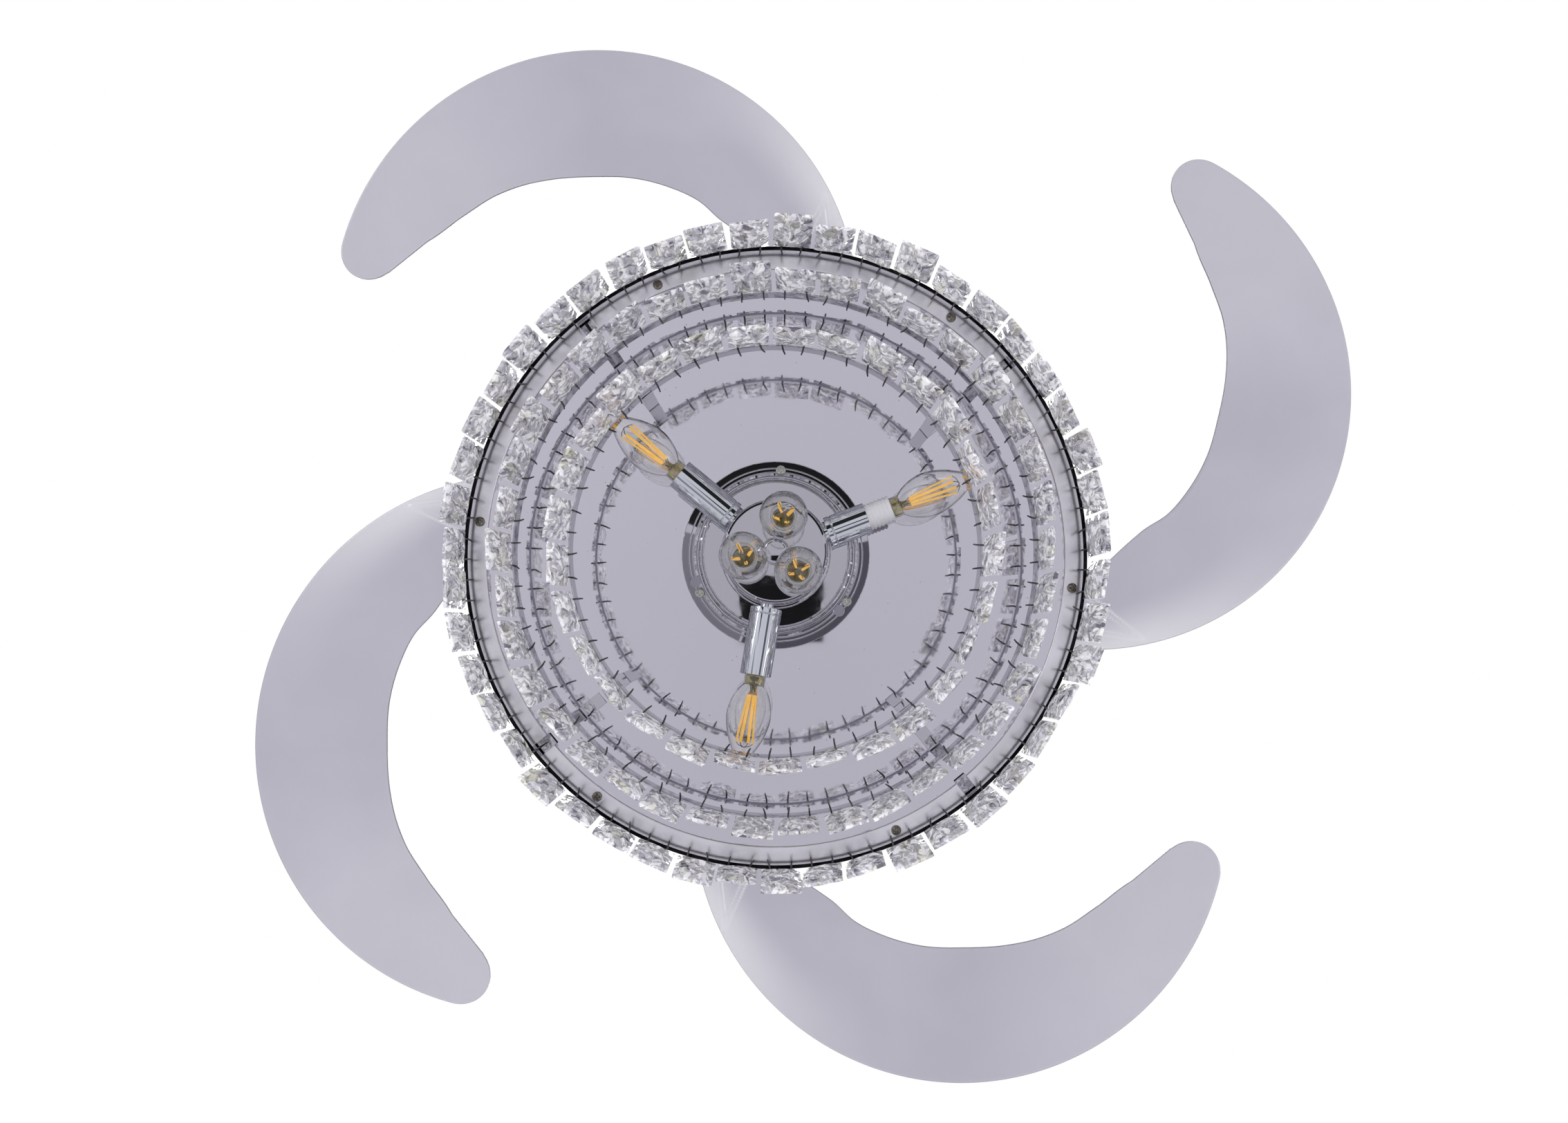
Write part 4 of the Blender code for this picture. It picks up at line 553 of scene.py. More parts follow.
# the first material of each slot dresses the nodes that no piece replaces
slotMaterials = {
    "polished_chrome": (chromePlate, chromeTube, satinNickel, paintedDarkReflection, drawnWire),
    "mirror_steel": (mirrorSheet,),
    "clear_acrylic": (tintedAcrylic,),
    "cut_crystal": (crystalGlass,),
    "bulb_glass": (bulbGlass, footGlass, phosphor),
    "zinc_steel": (zincPlate, nickelPlate),
    "spring_steel": (springWire,),
    "motor_case": (castAluminium,),
    "wound_stator": (copperWinding,),
    "white_plastic": (whitePlastic,),
    "silver_paint": (silverLacquer,),
}
for subpart in frame["record"]["subparts"]:
    node = frame["nodes"][subpart["node"]]
    for place in node.material_slots:
        place.material = slotMaterials[subpart["material_slot"]][0]
print("materials made")

# Mirror plate and the three bands, one for each tier of crystals. The middle and inner bands hang on
# strip legs, whose feet point inwards (side -1) or outwards (side 1) under the plate.

tiers = {
    "outer": {"radius": 250.7, "depth": 11.0, "count": 47, "first": 2.84},
    "middle": {"radius": 206.5, "depth": 38.0, "count": 38, "first": 0.32, "foot": 23.0, "side": -1.0},
    "inner": {"radius": 156.6, "depth": 73.0, "count": 29, "first": -1.8, "foot": 20.0, "side": 1.0},
}
bandShape = {
    "sheet": 1.2, "gap": 0.3, "lean": 0.6, "flange": 15.2, "lip": 2.3, "height": 12.0, "tabReach": 17.8,
    "legs": 4, "legFirst": 39.5, "legWidth": 10.5, "legLean": 2.2, "legBend": 2.2,
}


def buildPlate():
    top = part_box("mirror_plate")[1].z
    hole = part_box("plate_nut")[1].x * 0.6
    profile = [(hole, top), (plateRadius, top), (plateRadius, plateLow), (hole, plateLow)]
    turnedPiece("mirror_disc", profile, mirrorSheet, ["mirror_plate"], 256, 0.3)


def strip(path, width, sheet):
    # a flat section with soft corners carried along a path of (distance, height) points, its faces
    # half a sheet either side of the path and its edges half a width either side of the plane
    path = np.asarray(path, dtype=float)
    along = np.gradient(path, axis=0)
    along /= np.linalg.norm(along, axis=1, keepdims=True)
    normal = np.stack([-along[:, 1], along[:, 0]], axis=1)
    corners = np.array([(-sheet, -width), (sheet, -width), (sheet, width), (-sheet, width)]) / 2
    section = softened(corners, 0.25 * mm, 3)
    flat = path[:, None] + section[None, :, :1] * normal[:, None]
    sideways = np.broadcast_to(section[None, :, 1], flat.shape[:2])
    return np.stack([flat[..., 0], sideways, flat[..., 1]], axis=-1)[None]


def ringOfStrips(path):
    # legs or tabs of one width; the strip's path lies in the plane of the fan's axis and each turn
    s = bandShape
    turns = spread(s["legs"], s["legFirst"])
    grid = strip(path, s["legWidth"] * mm, s["sheet"] * mm)
    return placed(grid, np.zeros((s["legs"], 3)), direction(turns), direction(turns + 90.0), upward)


def buildOuterBand():
    s = bandShape
    sheet, gap = s["sheet"], s["gap"]
    outer, low = tiers["outer"]["radius"], tiers["outer"]["depth"]
    inside = outer - s["flange"]
    wall = [
        (inside, gap), (outer, gap), (outer, low - sheet), (outer - sheet, low - sheet),
        (outer - sheet - s["lean"], gap + sheet), (inside + 0.7, gap + sheet), (inside, gap + 0.6),
    ]
    turnedPiece("outer_band_ring", turned(wall), satinNickel, ["outer_band"], 256, 0.3)
    start, depth = outer - s["tabReach"], gap + 1.6 * sheet
    tab = turned([
        (start, depth + 1.1), (start + 5, depth + 0.75), (start + 10, depth + 0.4),
        (outer - sheet - 1.0, depth),
    ])
    tabs = ringOfStrips(softened(tab, 2 * mm, closed=False))
    piece("outer_band_tabs", [(tabs, "capped")], chromePlate)
    inner = outer - s["lip"]
    # the lip is painted nearly black: a painted dark reflection of the band's wall
    lip = [(inner, low - sheet), (outer + 0.6, low - sheet), (outer + 0.6, low), (inner, low)]
    turnedPiece("outer_band_lip", turned(lip), paintedDarkReflection, (), 256, 0.3)


def buildInnerBand(word):
    s = bandShape
    sheet, gap = s["sheet"], s["gap"]
    radius, depth, foot, side = (tiers[word][key] for key in ("radius", "depth", "foot", "side"))
    top, start, flat = depth - s["height"], radius - 1.4 * sheet, gap + sheet / 2
    band = [(radius - sheet - s["lean"], top), (radius, top), (radius, depth), (radius - sheet, depth)]
    leg = turned([
        (start, depth - 3.0), (start, depth - 8.0), (start + side * s["legLean"] * 0.9, 12.0),
        (start + side * s["legLean"], flat), (start + side * foot / 2, flat), (start + side * foot, flat),
    ])
    path = softened(leg, np.array([0.0, 0.0, 0.0, s["legBend"], 0.0, 0.0]) * mm, 6, closed=False)
    # points that fall together are left out, so that the path has a direction everywhere
    path = path[np.concatenate([[True], np.linalg.norm(np.diff(path, axis=0), axis=1) > 1e-7])]
    ring = lathe(softened(turned(band), 0.35 * mm), 256)
    parts = [(ring, "joined"), (ringOfStrips(path), "capped")]
    piece(f"{word}_band_ring", parts, chromePlate, [f"{word}_frame"])


buildPlate()
buildOuterBand()
for word in ("middle", "inner"):
    buildInnerBand(word)
print("mirror plate and bands made")

# Crystals and their wire pins. The rings of a crystal are the middle of one wide face, its table, its
# girdle twice, the other table and the other middle.

crystalShape = {
    "width": 30.5, "length": 64.0, "thickness": 7.0, "girdle": 2.4, "clip": 1.6, "rise": 2.6,
    "standOff": 2.1,
    "tableWidth": 17.0, "tableLength": 50.0, "tableRise": 3.1, "swing": 2.2, "yaw": 3.0, "roll": 1.0,
}
pinShape = {
    "wires": (0.75, 0.75, 0.8, 0.8, 0.75, 0.65, 0.55), "start": 4.4, "reach": 7.2, "drop": 4.5, "lean": 1.8,
}


def crystalRings():
    # eight corners for each ring; the table's are set half a step on, so the cut is a star
    s = crystalShape
    a, b, c = s["width"] / 2, s["length"] / 2, s["clip"]
    girdle = np.array([
        (a, b - c), (a - c, b), (c - a, b), (-a, b - c), (-a, c - b), (c - a, -b), (a - c, -b), (a, c - b),
    ])
    p, q = s["tableWidth"] / 2, s["tableLength"] / 2
    table = np.array([
        (0.82 * p, 0.9 * q), (0, q), (-0.82 * p, 0.9 * q), (-p, 0), (-0.82 * p, -0.9 * q), (0, -q),
        (0.82 * p, -0.9 * q), (p, 0),
    ])
    middle = np.zeros((8, 2))
    outlines = (middle, table, girdle, girdle, table, middle)
    heights = (s["thickness"] / 2, s["tableRise"], s["girdle"] / 2)
    heights = heights + tuple(-h for h in heights[::-1])
    rings = [np.column_stack([np.full(8, h), outline]) for h, outline in zip(heights, outlines)]
    return np.array(rings)[None] * mm


def turnedAxes(turns, yaw, swing, roll):
    # axes of each crystal: outward, sideways and up, then yawed about up, swung about the sideways
    # axis and rolled about the outward axis, all in degrees
    yaw, swing, roll = (np.radians(v)[:, None] for v in (yaw, swing, roll))
    outward, sideways = direction(turns), direction(turns + 90.0)
    x = outward * np.cos(yaw) + sideways * np.sin(yaw)
    y = sideways * np.cos(yaw) - outward * np.sin(yaw)
    z = upward * np.cos(swing) + x * np.sin(swing)
    x = x * np.cos(swing) - upward * np.sin(swing)
    y, z = y * np.cos(roll) + z * np.sin(roll), z * np.cos(roll) - y * np.sin(roll)
    return x, y, z


def buildCrystals(word, tier):
    s = crystalShape
    turns = spread(tier["count"], tier["first"])
    wobble = random.normal(0.0, 1.0, (3, tier["count"])).clip(-1.8, 1.8)
    x, y, z = turnedAxes(turns, wobble[0] * s["yaw"], wobble[1] * s["swing"], wobble[2] * s["roll"])
    hang = around(turns, tier["radius"] + s["standOff"], below(tier["depth"] - s["rise"]))
    grid = placed(crystalRings(), hang - z * s["length"] / 2 * mm, x, y, z)
    piece(f"crystals_{word}_cut", [(grid, "poles")], crystalGlass, [f"crystals_{word}"], facets=True)


def buildPins(word, tier):
    # two pins for each crystal, a quarter of its spacing either side of its middle
    p = pinShape
    count = 2 * tier["count"]
    turns = spread(count, tier["first"] + 90.0 / tier["count"])
    lean = random.normal(0.0, 1.0, (3, count)).clip(-2, 2)[..., None]
    outward, sideways = direction(turns), direction(turns + 90.0)
    # (reach outwards, rise) from the band's lower edge: a tail inside, over the edge and down
    out, rise = np.array([
        (p["start"] + 0.6, -0.2), (p["start"], 0.1), (1.0, -0.55), (-2.8, -0.75), (-4.6, -1.4),
        (-0.75 * p["reach"], -0.55 * p["drop"]), (-p["reach"], -p["drop"]),
    ]).T
    reach = out * (1.0 + 0.1 * lean[0]) + tier["radius"]
    side = np.clip(-out / p["reach"], 0.0, 1.0) ** 1.2 * lean[1] * p["lean"]
    paths = reach[..., None] * outward[:, None] * mm + side[..., None] * mm * sideways[:, None]
    paths[..., 2] += below(tier["depth"] - rise * (1.0 + 0.2 * lean[2]))
    grid = tube(paths, np.array(p["wires"]) * mm, 6, sideways)
    piece(f"crystal_pins_{word}", [(grid, "capped")], drawnWire, sharpness=60.0)


for word, tier in tiers.items():
    buildCrystals(word, tier)
    buildPins(word, tier)
print("crystals and pins made")

# Cross-head screws, under the plate and in the canopy's wall

screwShape = {"head": 4.0, "height": 2.0, "shank": 2.0, "slot": 0.62, "slotReach": 2.5, "slotDepth": 1.1}
screwSets = {
    "band_screw": {
        "node": "plate_screw", "count": 6, "circle": 242.5, "first": 53.6, "material": zincPlate,
    },
    "pan_cross_screw": {
        "node": "pan_screw", "count": 3, "circle": 69.0, "first": 86.6, "material": nickelPlate,
    },
}
screwSeat = {"plateDepth": 1.8, "plateShank": 5.8, "canopyGap": 0.3, "canopyDrop": 10.0, "canopyShank": 10.0}


def screwGrid(shank):
    # domed head above z = 0: h (1 - 0.35 (r / R)^3) with a soft cross let into it, then the shank below
    s = screwShape
    angle = np.arange(72) * 2 * math.pi / 72
    radius = np.concatenate([np.linspace(0.0, 0.93, 22), [0.965, 0.99, 1.0, 1.0]]) * s["head"]
    height = s["height"] * (1.0 - 0.35 * (radius / s["head"]) ** 3)
    height[-4:] = s["height"] * np.array([0.63, 0.54, 0.42, 0.0])
    x, y = radius[:, None] * np.cos(angle), radius[:, None] * np.sin(angle)
    narrow = np.minimum(np.abs(x), np.abs(y))
    inside = 1.0 / (1.0 + np.exp((narrow - s["slot"]) / 0.07))
    inside = inside / (1.0 + np.exp((np.hypot(x, y) - s["slotReach"]) / 0.12))
    z = height[:, None] - s["slotDepth"] * inside
    rest = lathe([(s["shank"], 0.0), (s["shank"], -shank), (0.0, -shank)], 72)[0]
    return np.concatenate([np.stack([x, y, z], axis=-1), rest])[None] * mm


def buildScrews(name, node, material, origins, zAxes, shank):
    grid = placed(screwGrid(shank), origins, *axesAlong(zAxes))
    for index in range(len(grid)):
        part = (grid[index:index + 1], "poles")
        piece(f"{name}_{index + 1}", [part], material, [f"{node}_{index + 1}"])


for name, s in screwSets.items():
    origins = around(spread(s["count"], s["first"]), s["circle"], below(screwSeat["plateDepth"]))
    buildScrews(name, s["node"], s["material"], origins, -upward, screwSeat["plateShank"])
outward = np.array([[-1.0, 0.0, 0.0], [1.0, 0.0, 0.0]])
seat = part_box("canopy")[1].x + screwSeat["canopyGap"] * mm
origins = outward * seat - upward * screwSeat["canopyDrop"] * mm
buildScrews("canopy_cross_screw", "canopy_screw", chromePlate, origins, outward, screwSeat["canopyShank"])
print("screws made")

# Lamp pan and cup

panShape = {
    "radius": 76.5, "sheet": 1.2, "drum": 62.0, "depth": 12.0, "hole": 30.0, "groove": 70.9, "keyhole": 4.6,
    "keyholeTurn": 8.0, "marks": (241.0, 299.0), "markCircle": 58.0, "gap": 0.3,
}
cupShape = {
    "radius": 41.0, "root": 44.0, "sheet": 1.2, "depth": 52.0, "cap": 9.5, "capHeight": 3.0, "gap": 0.3,
}


def cutHoles(target, cutters):
    # cuts closed meshes out of a piece for good, and drops the cutters
    for cutter in cutters:
        step = target.modifiers.new("hole", "BOOLEAN")
        step.operation = "DIFFERENCE"
        step.solver = "EXACT"
        step.object = cutter
    graph = bpy.context.evaluated_depsgraph_get()
    shaped = bpy.data.meshes.new_from_object(target.evaluated_get(graph))
    target.modifiers.clear()
    old = target.data
    target.data = shaped
    bpy.data.meshes.remove(old)
    for cutter in cutters:
        bpy.data.objects.remove(cutter)
    keepFlat(target)


def pegCutter(origin, radius, height):
    # a closed round peg along Z, centred on a point
    profile = [(0.0, height / 2), (radius, height / 2), (radius, -height / 2), (0.0, -height / 2)]
    grid = lathe(profile, 32) + origin
    return addObject("cutter", closedMesh("cutter", grid.reshape(-1, 3), gridFaces(grid, "poles")))


def buildPan():
    s = panShape
    sheet, outer, drum, near = s["sheet"], s["radius"], s["drum"], s["gap"]
    depth, groove, hole = s["depth"], s["groove"], s["hole"]
    far, back = near + sheet, depth - sheet
    # two sloping rings with a groove between them and a low bead along the second
    profile = [
        (outer, near), (outer, near + 0.3), (outer - 0.4, near + 0.5), (groove, far + 0.25),
        (groove - 0.3, far - 0.1), (groove - 0.8, far - 0.1), (groove - 1.1, far - 0.05),
        (groove - 3.2, far + 0.35), (groove - 3.7, far + 0.1), (groove - 4.2, far + 0.1),
        (drum + 2.6, far + 0.75), (drum + 1.9, far + 0.2), (drum + 0.9, far + 0.2), (drum, far + 1.5),
        (drum, depth - 2.2), (drum - 0.6, depth - 0.6), (drum - 1.6, depth), (drum - 2.5, depth - 0.1),
        (drum - 3.0, depth - 0.55), (drum - 3.5, depth - 0.5), (drum - 4.1, depth - 0.2),
        (hole + 12, depth - 0.2), (hole + 10, depth - 0.2), (hole, depth), (hole, back),
        (drum - 6.0, back - 0.3), (drum - sheet - 0.6, back - 1.8), (drum - sheet, near),
    ]
    pan = turnedPiece("lamp_pan_pressed", turned(profile), chromePlate, ["lamp_pan"], 192, 0.25)
    # a keyhole beside each of two screws
    screws = screwSets["pan_cross_screw"]
    turns = spread(screws["count"], screws["first"])[1:] - s["keyholeTurn"]
    spots = around(turns, screws["circle"], below(1.5))
    cutHoles(pan, [pegCutter(spot, s["keyhole"] * mm, 12 * mm) for spot in spots])
    rivet = turned([(0.0, depth + 0.55), (0.7, depth + 0.4), (1.15, depth - 0.2), (0.0, depth - 0.4)])
    grid = lathe(rivet, 24) + around(s["marks"], s["markCircle"], 0.0)[:, None, None]
    piece("pan_rivets", [(grid, "poles")], zincPlate)


def buildCup():
    s = cupShape
    sheet, radius, root = s["sheet"], s["radius"], s["root"]
    depth, cap, rise = s["depth"], s["cap"], s["capHeight"]
    top = panShape["depth"] + s["gap"]
    inside = radius - sheet
    profile = [
        (0.0, depth - sheet), (inside - 2.0, depth - sheet), (inside, depth - 2.0 - sheet), (inside, top),
        (root, top), (root + 0.3, top + 0.7), (root - 0.6, top + 1.6), (radius + 0.4, top + 1.5),
        (radius, top + 2.6), (radius, depth - 2.4), (radius - 1.0, depth - 0.5), (radius - 3.0, depth),
        (cap + 1.2, depth), (cap + 0.8, depth - 0.3), (cap, depth - 0.3), (cap, depth + 0.6 * rise),
        (0.82 * cap, depth + 0.92 * rise), (0.0, depth + rise),
    ]
    turnedPiece("lamp_cup_spun", turned(profile), chromePlate, ["lamp_cup"], 160, 0.5, closed=False)


buildPan()
buildCup()
print("lamp pan and cup made")

# Sockets and candle lamps. Profiles run along each lamp's own axis from the socket's rear face.

lampShape = {
    "bore": 11.1, "wall": 1.2, "floor": 2.4, "nipple": 5.0, "base": 10.8, "neck": 8.4, "neckLength": 7.5,
    "glass": 17.5, "glassLength": 65.0, "glassWall": 1.0, "ribPitch": 3.2, "ribDepth": 0.9,
    "strips": 4, "stripWidth": 2.5, "stripSheet": 1.2, "stripTurn": 0.42, "stripEnds": (8.0, 45.0),
    "stripReach": (3.6, 7.2), "lead": 0.3,
    "glassOutline": (
        (0.0, 0.48), (0.06, 0.66), (0.18, 0.88), (0.32, 1.0), (0.5, 0.94), (0.68, 0.72), (0.85, 0.38),
        (0.95, 0.16), (1.0, 0.04),
    ),
}
lampSets = {
    "side": {
        "first": 20.7, "radius": 44.5, "depth": 35.0, "tilt": 5.0, "sleeves": (33.0, 53.0, 53.0),
        "baseEnd": 53.0, "nipple": 8.0,
    },
    "down": {
        "first": 75.0, "radius": 24.0, "depth": 52.3, "tilt": 90.0, "sleeves": (28.0, 28.0, 28.0),
        "baseEnd": 29.0, "nipple": 6.0,
    },
}


def sleeveProfile(length, nipple):
    # an open socket with a thin groove near its rear face, and the nipple behind it
    s = lampShape
    bore, outer = s["bore"], s["bore"] + s["wall"]
    return np.array([
        (0.0, s["floor"]), (bore, s["floor"]), (bore, length), (outer, length), (outer, 5.2),
        (outer - 0.5, 4.9), (outer - 0.5, 4.2), (outer, 3.9), (outer, 0.0), (s["nipple"], 0.0),
        (s["nipple"], -nipple), (0.0, -nipple),
    ])


def baseProfile(length, end):
    # a plain sleeve in the bore, and fine ribs r - d / 2 (1 - cos) where the base stands free
    s = lampShape
    along = np.linspace(s["floor"] + 0.3, end, 160)
    free = np.clip((along - length - 1.0) / 0.6, 0.0, 1.0)
    ribs = s["ribDepth"] / 2 * (1.0 - np.cos(2 * math.pi * (along - length) / s["ribPitch"]))
    rows = np.stack([s["base"] - free * ribs, along], axis=1)
    close = [(s["neck"] + 0.3, end), (s["neck"] - 0.9, end), (0.0, end)]
    return np.concatenate([[(0.0, along[0])], rows, close])


def glassProfile(end):
    # outer wall down from the tip, across the neck's rim and up the inner wall to the tip again
    s = lampShape
    share = np.sin(np.linspace(0.0, math.pi / 2, 60))
    radius = s["glass"] * smoothCurve(s["glassOutline"], share)
    radius = np.minimum(radius, 3.2 * np.sqrt(np.maximum((1.0 - share) * s["glassLength"], 0.0)))
    along = end + s["neckLength"] + share * s["glassLength"]
    outer = np.stack([radius, along], axis=1)[::-1]
    whole = np.concatenate([outer, [(s["neck"], end + s["neckLength"] - 1.5), (s["neck"], end + 0.2)]])
    inner = whole.copy()
    inner[:, 0] = np.maximum(whole[:, 0] - s["glassWall"], 0.0)
    inner[0] = (0.0, whole[0, 1] - 1.4)
    keep = (inner[:, 0] > 0.0) | (np.arange(len(inner)) == 0)
    keep &= (inner[:, 1] <= inner[0, 1])
    return np.concatenate([whole, inner[keep][::-1]])


def footProfile(end):
    # a glass foot that fills the neck and narrows to a stem
    neck = lampShape["neck"]
    return np.array([
        (0.0, end + 0.4), (neck - 1.2, end + 0.4), (neck - 1.2, end + 6.6), (neck - 2.0, end + 7.4),
        (3.0, end + 8.2), (2.2, end + 11.0), (1.5, end + 14.0), (0.0, end + 14.6),
    ])


def stripPaths(end):
    # straight filaments that lean together towards the base, and a sideways vector for each
    s = lampShape
    turn = np.arange(s["strips"]) * 2 * math.pi / s["strips"] + s["stripTurn"]
    low, high = (end + s["neckLength"] + reach for reach in s["stripEnds"])
    t = np.linspace(0.0, 1.0, 6)
    reach = s["stripReach"][0] + (s["stripReach"][1] - s["stripReach"][0]) * t
    x, y = reach[None] * np.cos(turn)[:, None], reach[None] * np.sin(turn)[:, None]
    z = np.broadcast_to(low + (high - low) * t, x.shape)
    sideways = np.stack([-np.sin(turn), np.cos(turn), np.zeros_like(turn)], axis=-1)
    return np.stack([x, y, z], axis=-1), sideways


def flatTube(paths, width, sheet, sideways):
    # an oval section, wider along the sideways vector, carried along each straight path
    offset = tube(paths, 1.0, 10, sideways) - paths[:, :, None]
    across = np.einsum("cnmk,ck->cnm", offset, sideways)[..., None] * sideways[:, None, None]
    return paths[:, :, None] + across * width / 2 + (offset - across) * sheet / 2


def bentWires(ends, bends, sideways):
    # wires through points that keep a share of each filament end's reach and lie a step along from it
    points = [ends * [share, share, 1.0] + upward * step for share, step in bends]
    return tube(np.concatenate(points, axis=1) * mm, lampShape["lead"] * mm, 6, sideways)


def buildLamp(word, index, rear, axis):
    s, lamps = lampShape, lampSets[word]
    axes = axesAlong(axis)
    length, end = lamps["sleeves"][index], lamps["baseEnd"]
    sleeve = softened(sleeveProfile(length, lamps["nipple"]) * mm, 0.3 * mm, 3, False)
    foot = softened(footProfile(end) * mm, 0.8 * mm, 4, False)
    paths, sideways = stripPaths(end)
    strips = flatTube(paths * mm, s["stripWidth"] * mm, s["stripSheet"] * mm, sideways)
    leads = bentWires(paths[:, :1], ((0.35, -6.0), (0.7, -1.5), (1.0, 0.0)), sideways)
    tips = bentWires(paths[:, -1:], ((1.0, 0.0), (0.7, 2.0), (0.05, 3.4)), sideways)
    for name, node, parts, material in (
        ("sleeve", "socket", [(lathe(sleeve, 72), "poles")], chromeTube),
        ("lamp_base", None, [(lathe(baseProfile(length, end) * mm, 64), "poles")], whitePlastic),
        ("lamp_glass", "bulb", [(lathe(glassProfile(end) * mm, 72), "poles")], bulbGlass),
        ("filaments", None, [(strips, "capped")], phosphor),
        ("glass_foot", None, [(lathe(foot, 40), "poles")], footGlass),
        ("lead_wires", None, [(leads, "capped"), (tips, "capped")], drawnWire),
    ):
        parts = [(placed(grid, rear, *axes), ends) for grid, ends in parts]
        piece(f"{word}_{name}_{index + 1}", parts, material, [f"{word}_{node}_{index + 1}"] if node else ())


for word, lamps in lampSets.items():
    tilt = math.radians(lamps["tilt"])
    for index, turn in enumerate(spread(3, lamps["first"])):
        rear = around(turn, lamps["radius"], below(lamps["depth"]))
        buildLamp(word, index, rear, direction(turn) * math.cos(tilt) - upward * math.sin(tilt))
print("sockets and lamps made")

# Blades. A column of the blade lies on a ray from the centre of its outer arc; sweep is the angle of
# that ray, from the pivot towards the tip. Inner edge points are shares of the sweep and of the arc.

bladeShape = {
    "pivotCircle": 208.0, "hub": 17.0, "arc": 225.0, "sheet": 3.0, "tipTurn": 166.6, "tipRadius": 25.0,
    "tangentStart": (155.5, 158.94), "rampRise": 12.0, "rampTurn": 82.0, "flatTurn": 8.0,
    "rows": 76, "columns": 230,
    "innerEdge": (
        (0.0, 0.8489), (0.06, 0.829), (0.12, 0.700), (0.213, 0.593), (0.286, 0.573), (0.359, 0.547),
        (0.448, 0.524), (0.554, 0.509), (0.662, 0.528), (0.738, 0.556), (0.797, 0.582), (0.876, 0.620),
        (0.954, 0.691), (1.0, 0.778),
    ),
    "pivots": (75.7, -14.3, 255.7, 165.7), "openings": (78.0, 93.0, 78.0, 78.0),
    "ribs": (((194.3, 102.1), (158.0, 10.0)), ((194.3, 102.1), (209.0, 8.0))),
    "ribHeight": 1.3, "ribWidth": 1.9, "paintedHighlightTurn": 24.0, "paintedHighlightWidths": (22.0, 30.0), "paintedHighlightStart": 0.5,
}


def bladeColumns():
    # sweep in radians, inner radius and outer radius: a round hub, the crescent, then a round tip
    s = bladeShape
    cap = np.radians(np.linspace(6.0, 84.0, 14))
    hubSweep = -s["hub"] * np.cos(cap) / s["pivotCircle"]
    hubHalf = s["hub"] * np.sin(cap)
    share = 0.03 + 0.97 * np.linspace(0.0, 1.0, s["columns"]) ** 1.25
    inner = s["arc"] * smoothCurve(s["innerEdge"], share)
    tipMiddle, tipTurn, tipRadius = s["arc"] - s["tipRadius"], math.radians(s["tipTurn"]), s["tipRadius"]
    tipSweep = tipTurn + tipRadius * np.cos(cap[::-1]) / tipMiddle
    tipHalf = tipRadius * np.sin(cap[::-1])
    sweep = np.concatenate([hubSweep, share * tipTurn, tipSweep])
    low = np.concatenate([s["pivotCircle"] - hubHalf, inner, tipMiddle - tipHalf])
    high = np.concatenate([s["pivotCircle"] + hubHalf, np.full_like(inner, s["arc"]), tipMiddle + tipHalf])
    # near the tip the inner edge follows the straight line that touches the tip's circle
    startRadius, startSweep = s["tangentStart"][0], math.radians(s["tangentStart"][1])
    x, y = startRadius * math.cos(startSweep), startRadius * math.sin(startSweep)
    toTip = tipMiddle * np.array([math.cos(tipTurn), math.sin(tipTurn)]) - [x, y]
    lean = math.atan2(toTip[1], toTip[0]) + math.asin(tipRadius / np.hypot(*toTip))
    alongX, alongY = math.cos(lean), math.sin(lean)
    line = (x * alongY - y * alongX) / (np.cos(sweep) * alongY - np.sin(sweep) * alongX)
    run = math.sqrt(toTip @ toTip - tipRadius**2)
    straight = (sweep > startSweep) & (sweep < math.atan2(y + run * alongY, x + run * alongX))
    return sweep, np.where(straight, np.minimum(low, line), low), high


def ribDistance(x, y):
    # the distance d to the nearest of the two ribs; the ridge over it is h exp(-(d / w)^4)
    nearest = np.full(x.shape, np.inf)
    for (x0, y0), (x1, y1) in bladeShape["ribs"]:
        along = np.array([x1 - x0, y1 - y0])
        t = np.clip(((x - x0) * along[0] + (y - y0) * along[1]) / (along @ along), 0.0, 1.0)
        nearest = np.minimum(nearest, np.hypot(x - x0 - t * along[0], y - y0 - t * along[1]))
    return nearest


